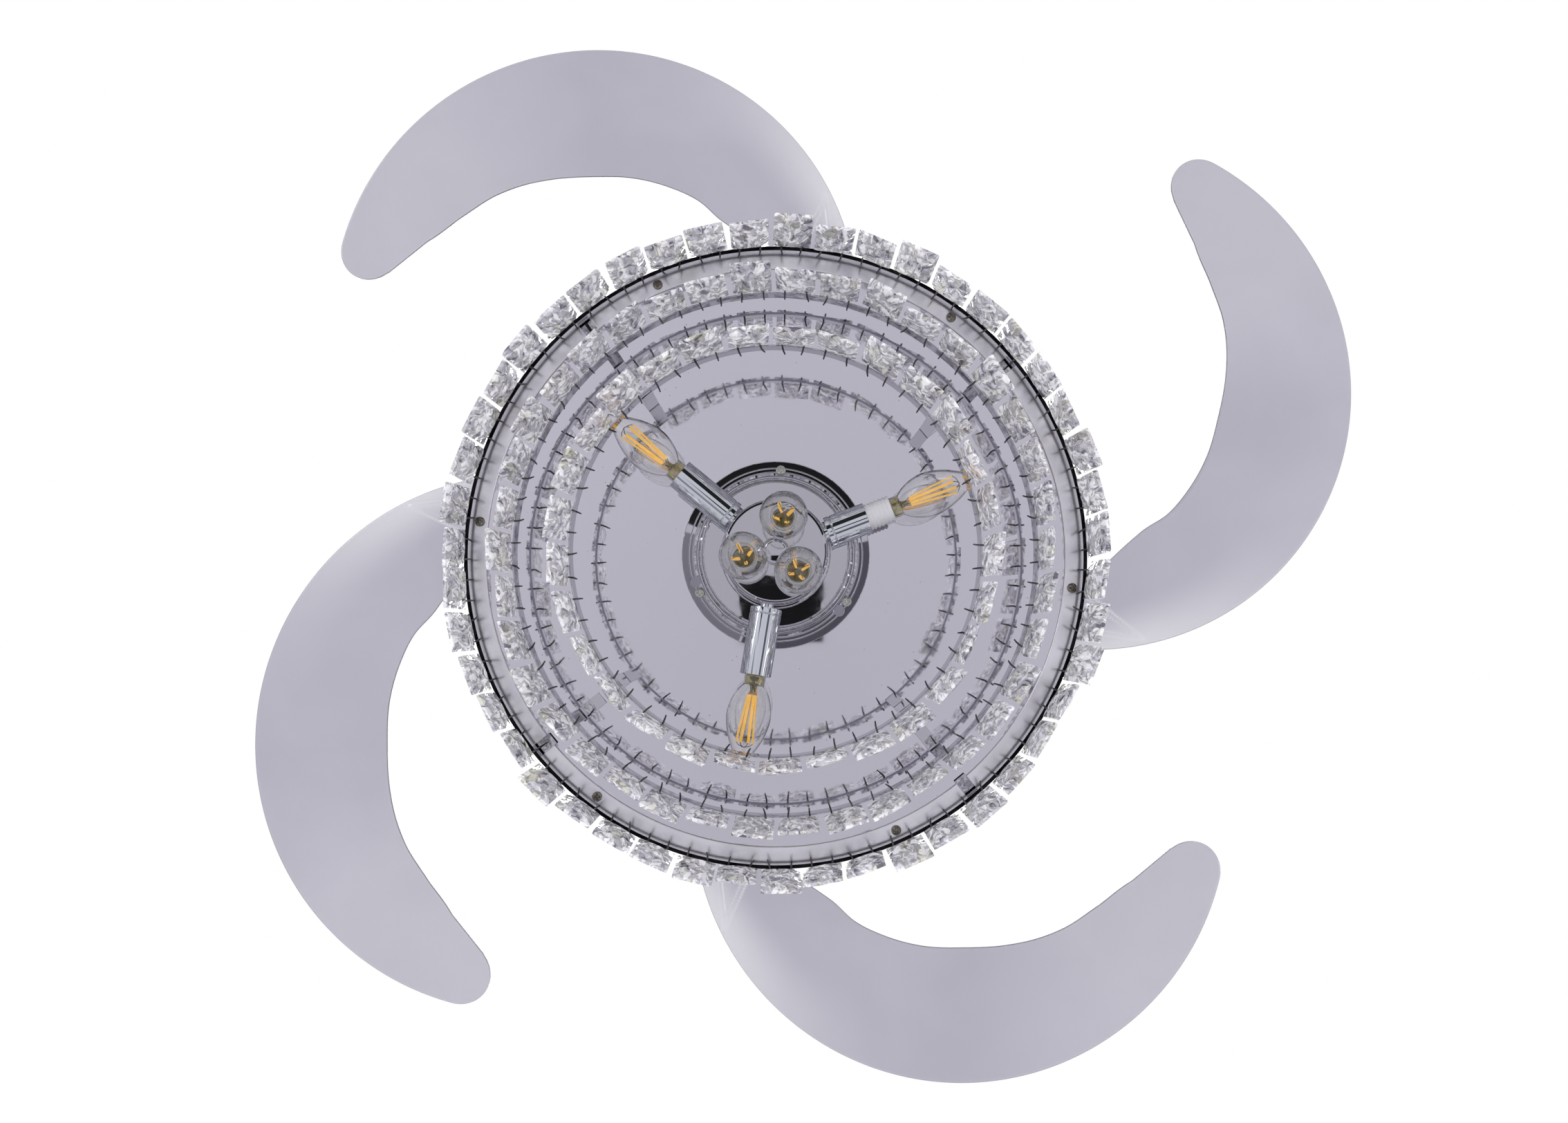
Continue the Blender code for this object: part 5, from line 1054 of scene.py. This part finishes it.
def bladeGrid():
    # lower face from the inner edge out, a half-round edge, the upper face back and the other edge
    s = bladeShape
    sweep, low, high = bladeColumns()
    half = s["sheet"] / 2
    middle, reach = (low + high) / 2, np.maximum((high - low) / 2 - half, 0.02)
    row = np.linspace(-1.0, 1.0, s["rows"])
    arc = np.radians(np.linspace(-60.0, 60.0, 5))
    across = np.concatenate([row, np.ones(5), row[::-1], -np.ones(5)])
    bulge = np.concatenate([0 * row, np.cos(arc), 0 * row, -np.cos(arc)]) * half
    rise = np.concatenate([0 * row - 1, np.sin(arc), 0 * row + 1, -np.sin(arc)]) * half
    radius = middle[:, None] + reach[:, None] * across + bulge
    x, y = radius * np.cos(sweep)[:, None], radius * np.sin(sweep)[:, None]
    ramp = s["rampRise"] * np.maximum(np.degrees(sweep) - s["flatTurn"], 0.0) / s["rampTurn"]
    z = half + ramp[:, None] + rise
    under = np.arange(len(across)) < s["rows"]
    away = ribDistance(x, y)
    z = z - np.where(under, s["ribHeight"] * np.exp(-((away / s["ribWidth"]) ** 4)), 0.0)
    # a painted highlight by the outer edge, exp(-((turn - place) / width)^2) along and a ramp across, a
    # little paler at the tip, and a thin painted highlight line on both sides of each rib
    turn = np.degrees(sweep)[:, None] + 0 * x
    widths = np.where(turn < s["paintedHighlightTurn"], *s["paintedHighlightWidths"])
    along = np.exp(-(((turn - s["paintedHighlightTurn"]) / widths) ** 2))
    outward = np.clip((radius - low[:, None]) / (high - low)[:, None], 0.0, 1.0)
    ramp = np.clip((outward - s["paintedHighlightStart"]) / (1.0 - s["paintedHighlightStart"]), 0.0, 1.0)
    paintedLight = 0.6 * along * ramp * ramp * (3.0 - 2.0 * ramp) + 0.16 * np.clip((turn - 95.0) / 40.0, 0.0, 1.0)
    paintedLight = np.maximum(paintedLight, 0.5 * np.exp(-((away - s["ribWidth"]) ** 2)))
    # the very edge is marked with -1 and painted darker, as painted shade for the polished edge that looks
    # darker from below
    paintedLight = np.where(np.abs(bulge) > 0.8 * half, -1.0, paintedLight)
    return np.stack([x - s["pivotCircle"], y, z], axis=-1)[None] * mm, paintedLight.ravel()


def buildBlades():
    # y of the grid runs counter-clockwise as seen from below
    s = bladeShape
    grid, paintedLight = bladeGrid()
    for index, (turn, opening) in enumerate(zip(s["pivots"], s["openings"])):
        blade = f"blade_{index + 1}"
        pivot = around(turn, s["pivotCircle"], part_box(blade)[0].z)
        facing = turn - opening
        parts = [(placed(grid, pivot, direction(facing), direction(facing + 90.0), upward), "capped")]
        piece(f"{blade}_moulded", parts, tintedAcrylic, [blade], blade, paintedLight=paintedLight)


buildBlades()
print("blades made")

# Pivots, springs, tray, cover dish and motor shells on the rotor. Heights here are drops below the ceiling.

rotorShape = {
    "radius": 80.0, "lidTop": 186.0, "lid": 4.0, "base": 233.7, "boss": 24.0, "bossFoot": 28.0,
    "bossRise": 9.5, "shaftHole": 12.0, "bore": 17.8, "pocket": 21.0, "pocketRise": 12.6,
    "shellInside": 76.0, "shellFloor": 2.5,
    "tray": 232.0, "traySheet": 3.0, "trayTop": 234.0, "rimWidth": 3.0, "rimRise": 3.0, "trayHole": 9.5,
    "dish": 1.5, "dishHole": 45.0, "dishDrop": 8.5, "dishLow": 185.7, "gap": 0.3,
}
pinParts = {
    "radius": 4.0, "collar": 5.2, "lift": 6.0, "head": 8.0, "headHeight": 2.0, "foot": 7.0, "gap": 0.3,
}
springShape = {"coil": 6.6, "wire": 0.5, "pitch": 1.5, "turns": 2.0, "lift": 0.8}


def buildRotor():
    s = rotorShape
    radius, hole, bore = s["radius"], s["shaftHole"], s["bore"]
    rim, trayTop, trayLow = s["tray"] - s["rimWidth"], s["trayTop"], s["trayTop"] + s["traySheet"]
    rimTop = trayTop - s["rimRise"]
    tray = [
        (s["trayHole"], trayTop), (rim, trayTop), (rim, rimTop), (s["tray"], rimTop), (s["tray"], trayLow),
        (s["trayHole"], trayLow),
    ]
    turnedPiece("blade_tray_spun", drops(tray), silverLacquer, ["blade_tray"], 256, 0.8, body="rotor")
    low, top = s["dishLow"], s["dishLow"] - s["dish"]
    dish = [
        (s["dishHole"], top), (radius, top), (s["tray"], top + s["dishDrop"]),
        (s["tray"], low + s["dishDrop"]), (radius, low), (s["dishHole"], low),
    ]
    bends = np.array([0.4, 9.0, 0.6, 0.6, 9.0, 0.4])
    turnedPiece("blade_cover_spun", drops(dish), silverLacquer, ["blade_cover"], 256, bends, body="rotor")
    lidTop, lidLow, bossTop = s["lidTop"], s["lidTop"] + s["lid"], s["lidTop"] - s["bossRise"]
    lid = [
        (hole, bossTop), (s["boss"], bossTop), (s["bossFoot"], lidTop - 0.2), (radius, lidTop),
        (radius, lidLow), (bore, lidLow), (bore, bossTop + 2.0), (hole, bossTop + 2.0),
    ]
    turnedPiece("rotor_lid_cast", drops(lid), castAluminium, ["rotor_top"], 160, 0.8, body="rotor")
    top, low, wall, pocket = lidLow + s["gap"], s["base"], s["shellInside"], s["base"] - s["pocketRise"]
    floor = low - s["shellFloor"]
    shell = [
        (wall, top), (radius, top), (radius, low), (hole, low), (hole, low - 2.0), (bore, low - 2.0),
        (bore, pocket), (s["pocket"], pocket), (s["pocket"], floor), (wall, floor),
    ]
    turnedPiece("rotor_shell_cast", drops(shell), castAluminium, ["rotor_base"], 160, 0.6, body="rotor")


def buildPivots():
    # a headed pin through each blade, and a spring as the helix (r cos a, r sin a, lift + pitch a / 2 pi)
    p, w = pinParts, springShape
    radius, collar, head = p["radius"], p["collar"], p["head"]
    foot, gap, high = p["foot"], p["gap"], p["headHeight"]
    headLow = p["lift"] + bladeShape["sheet"] + gap
    footTop = -rotorShape["traySheet"] - gap
    profile = np.array([
        (0.0, headLow + high), (0.75 * head, headLow + high), (head, headLow + 0.6 * high), (head, headLow),
        (radius, headLow), (radius, p["lift"] - gap), (collar, p["lift"] - gap), (collar, gap),
        (radius, gap), (radius, footTop), (foot, footTop), (foot, footTop - 0.6 * high),
        (0.8 * foot, footTop - high),
        (0.0, footTop - high),
    ]) * mm
    pin = lathe(softened(profile, 0.4 * mm, 3, False), 48)
    t = np.linspace(0.0, 1.0, 97)
    angle = 2 * math.pi * w["turns"] * t
    height = w["lift"] + w["pitch"] * w["turns"] * t
    helix = np.stack([w["coil"] * np.cos(angle), w["coil"] * np.sin(angle), height], axis=1) * mm
    coil = tube(helix[None], w["wire"] * mm, 10, upward[None])
    for index, turn in enumerate(bladeShape["pivots"]):
        pivot = around(turn, bladeShape["pivotCircle"], -rotorShape["trayTop"] * mm)
        axes = direction(turn), np.cross(upward, direction(turn)), upward
        for name, grid, ends, material, node in (
            ("blade_pivot", pin, "poles", zincPlate, "blade_pivot_pin"),
            ("blade_spring_coil", coil, "capped", springWire, "blade_spring"),
        ):
            parts = [(placed(grid, pivot, *axes), ends)]
            piece(f"{name}_{index + 1}", parts, material, [f"{node}_{index + 1}"], "rotor")


buildRotor()
buildPivots()
print("rotor made")

# Canopy, rod and coupling cover

hangShape = {
    "canopy": 68.0, "wall": 1.2, "straight": 34.0, "canopyDepth": 64.0, "foot": 26.0, "hole": 14.0,
    "gap": 0.5, "rod": 10.5, "rodWall": 2.5, "rodTop": 22.0, "rodEnd": 171.0, "bellTop": 145.0,
    "bellHeight": 28.0,
    "bell": 30.0, "bellGap": 0.3,
    "bellShoulder": ((0.47, 0.0), (0.62, 0.09), (0.80, 0.32), (0.93, 0.66), (1.0, 1.0)),
}


def buildCanopy():
    # a straight wall, then a quarter ellipse down to a round hole for the rod, inside and outside
    s = hangShape
    angle = np.radians(np.linspace(0.0, 90.0, 14))[:, None]
    walls = []
    for wall in (0.0, s["wall"]):
        outer = s["canopy"] - wall
        down = s["canopyDepth"] - wall - s["straight"]
        across = s["foot"] + (outer - s["foot"]) * np.cos(angle)
        arc = np.concatenate([across, s["straight"] + down * np.sin(angle)], axis=1)
        rim = [(outer, s["gap"]), (outer, s["gap"] + 3.0)]
        walls.append(np.concatenate([rim, arc, [(s["hole"], s["canopyDepth"] - wall)]]))
    profile = drops(np.concatenate([walls[0], walls[1][::-1]]))
    turnedPiece("canopy_spun", profile, chromePlate, ["canopy"], 192, 0.4)


def buildRod():
    s = hangShape
    inside, outside, top, end = s["rod"] - s["rodWall"], s["rod"], s["rodTop"], s["rodEnd"]
    profile = drops([(inside, top), (outside, top), (outside, end), (inside, end)])
    turnedPiece("downrod_tube", profile, chromePlate, ["downrod"], 96, 0.5)


def buildCoupling():
    # the shoulder's points are shares of the bell's radius and of its height
    s = hangShape
    shoulder = np.array(s["bellShoulder"])
    share = np.linspace(shoulder[0, 0], 1.0, 24)
    fall = np.interp(share, *shoulder.T)
    top, neck = s["bellTop"], s["rod"] + s["bellGap"]
    outside = np.stack([share * s["bell"], top + fall * s["bellHeight"]], axis=1)
    inside = outside - [s["wall"], 0.0]
    inside[:, 1] = np.maximum(inside[:, 1], top + s["wall"])
    inside = inside[inside[:, 0] > neck]
    profile = np.concatenate([[(neck, top)], outside, inside[::-1], [(neck, top + s["wall"])]])
    turnedPiece("coupling_bell_spun", drops(profile), chromePlate, ["coupling_cover"], 128, 0.3)


buildCanopy()
buildRod()
buildCoupling()
print("hanging parts made")

# Floor, dark cloths and screens, light, world and camera, in metres. Nothing here belongs to the fan.

# Floor paint, rolled: pale grey with a lavender cast and slow mottling.
floorPaint = mottled(
    "floor paint, rolled", {"Base Color": "#CBC9D3", "Roughness": 0.8}, {"Scale": 1.2, "Detail": 3.0},
    ((0.0, "#D2D1D8"), (1.0, "#DAD9DF")),
)[0]
# Cotton, woven and dyed: dull, and dark enough for the chrome and the crystals to show.
blackCloth = newMaterial("cotton, dyed black", {"Base Color": "#0E0E10", "Roughness": 0.95})[0]
midCloth = newMaterial("cotton, dyed mid grey", {"Base Color": "#8E8D95", "Roughness": 0.95})[0]
greyCloth = newMaterial("cotton, dyed grey", {"Base Color": "#5E5D66", "Roughness": 0.95})[0]

flats = {
    "floor": {"x": (-4.5, 4.5), "y": (-4.5, 4.5), "height": -2.3, "material": floorPaint, "seen": True},
    "card_camera": {
        "x": (-0.062, 0.072), "y": (-0.012, 0.09), "height": -1.24, "material": blackCloth, "seen": False,
    },
}
floorRings = {
    "ring_front": {"turns": (25.0, 155.0), "radii": (0.84, 2.6), "height": -2.28, "cloth": blackCloth},
    "ring_right": {"turns": (-115.0, 15.0), "radii": (0.84, 1.5), "height": -2.27, "cloth": greyCloth},
    "ring_left": {"turns": (160.0, 243.0), "radii": (0.84, 1.5), "height": -2.27, "cloth": midCloth},
}
screens = {"radius": 3.2, "heights": (-1.5, 0.9), "firsts": (15.0, 135.0, 255.0), "width": 75.0}
softboxes = {
    "softbox_left": {"place": (-2.2, -1.2, -1.5), "aim": -0.3, "size": 1.4, "power": 12.0, "glossy": True},
    "softbox_right": {"place": (2.3, 0.6, -1.4), "aim": -0.3, "size": 1.2, "power": 8.0, "glossy": True},
    "softbox_top": {"place": (-0.1, -0.3, 2.2), "aim": -0.2, "size": 1.3, "power": 16.0, "glossy": True},
    "softbox_below": {"place": (0.0, 0.1, -1.9), "aim": -0.3, "size": 1.6, "power": 8.0, "glossy": False},
}
cameraShape = {"place": (0.005, 0.051, -1.247), "aim": (0.0067, 0.0054, -0.247), "lens": 28.2}


def stageSheet(name, strips, material, seen=False):
    # quads along strips that are two points wide, [strips, along, 2]; unseen ones show in mirrors alone
    count, along = strips.shape[:2]
    start = 2 * np.arange(count * along).reshape(count, along)[:, :-1].ravel()
    faces = np.stack([start, start + 2, start + 3, start + 1], axis=1)
    mesh = bpy.data.meshes.new(name)
    mesh.from_pydata(strips.reshape(-1, 3).tolist(), [], faces.tolist())
    mesh.materials.append(material)
    made = addObject(name, mesh)
    for ray in ("camera", "diffuse", "transmission", "shadow"):
        setattr(made, f"visible_{ray}", seen)


def buildStage():
    for name, s in flats.items():
        corners = [[(x, y, s["height"]) for y in s["y"]] for x in s["x"]]
        stageSheet(name, np.array([corners]), s["material"], s["seen"])
    # parts of flat rings that lie on the floor
    for name, s in floorRings.items():
        outward = direction(np.linspace(*s["turns"], 25))
        grid = outward[:, None] * np.array(s["radii"])[None, :, None] + upward * s["height"]
        stageSheet(name, grid[None], s["cloth"])
    # tall screens round the fan, with gaps
    s = screens
    angle = np.radians([np.linspace(first, first + s["width"], 16) for first in s["firsts"]])[..., None]
    x, y = s["radius"] * np.cos(angle), s["radius"] * np.sin(angle)
    stageSheet("screens", np.stack(np.broadcast_arrays(x, y, s["heights"]), axis=-1), greyCloth)


def buildWorld():
    # plain white to the camera, mirrors and glass, and a little less as light on the fan
    world = bpy.data.worlds.new("studio")
    bpy.context.scene.world = world
    world.use_nodes = True
    tree = world.node_tree
    rays = addNode(tree, "ShaderNodeLightPath", {}, {}).outputs
    seen = addNode(
        tree, "ShaderNodeMath", {"operation": "MAXIMUM"},
        {0: rays["Is Camera Ray"], 1: rays["Is Glossy Ray"]},
    )
    shown = addNode(
        tree, "ShaderNodeMath", {"operation": "MAXIMUM"}, {0: seen, 1: rays["Is Transmission Ray"]}
    )
    level = addNode(tree, "ShaderNodeMapRange", {"To Min": 0.95, "To Max": 1.0}, {"Value": shown})
    background = tree.nodes["Background"]
    setUp(background, {"Color": "#FFFFFF"})
    join(tree, background, {"Strength": level})


def buildLamps():
    for name, s in softboxes.items():
        lamp = bpy.data.lights.new(name, "AREA")
        lamp.shape = "DISK"
        lamp.size = s["size"]
        lamp.energy = s["power"]
        made = addObject(name, lamp)
        made.location = s["place"]
        made.rotation_mode = "QUATERNION"
        made.rotation_quaternion = Vector(np.array(s["place"]) - upward * s["aim"]).to_track_quat("Z", "Y")
        made.visible_camera = False
        made.visible_transmission = False
        made.visible_glossy = s["glossy"]


def buildCamera():
    s = cameraShape
    data = bpy.data.cameras.new("camera")
    data.lens = s["lens"]
    data.sensor_width = 36.0
    data.clip_start = 0.01
    made = addObject("camera", data)
    forward = (Vector(s["aim"]) - Vector(s["place"])).normalized()
    right = forward.cross(Vector((0.0, -1.0, 0.0))).normalized()
    up = right.cross(forward)
    turn = Matrix((right, up, -forward)).transposed().to_4x4()
    made.matrix_world = Matrix.Translation(s["place"]) @ turn
    bpy.context.scene.camera = made


buildStage()
buildWorld()
buildLamps()
buildCamera()
bpy.context.scene.view_settings.view_transform = "Standard"
print("stage, light and camera made")
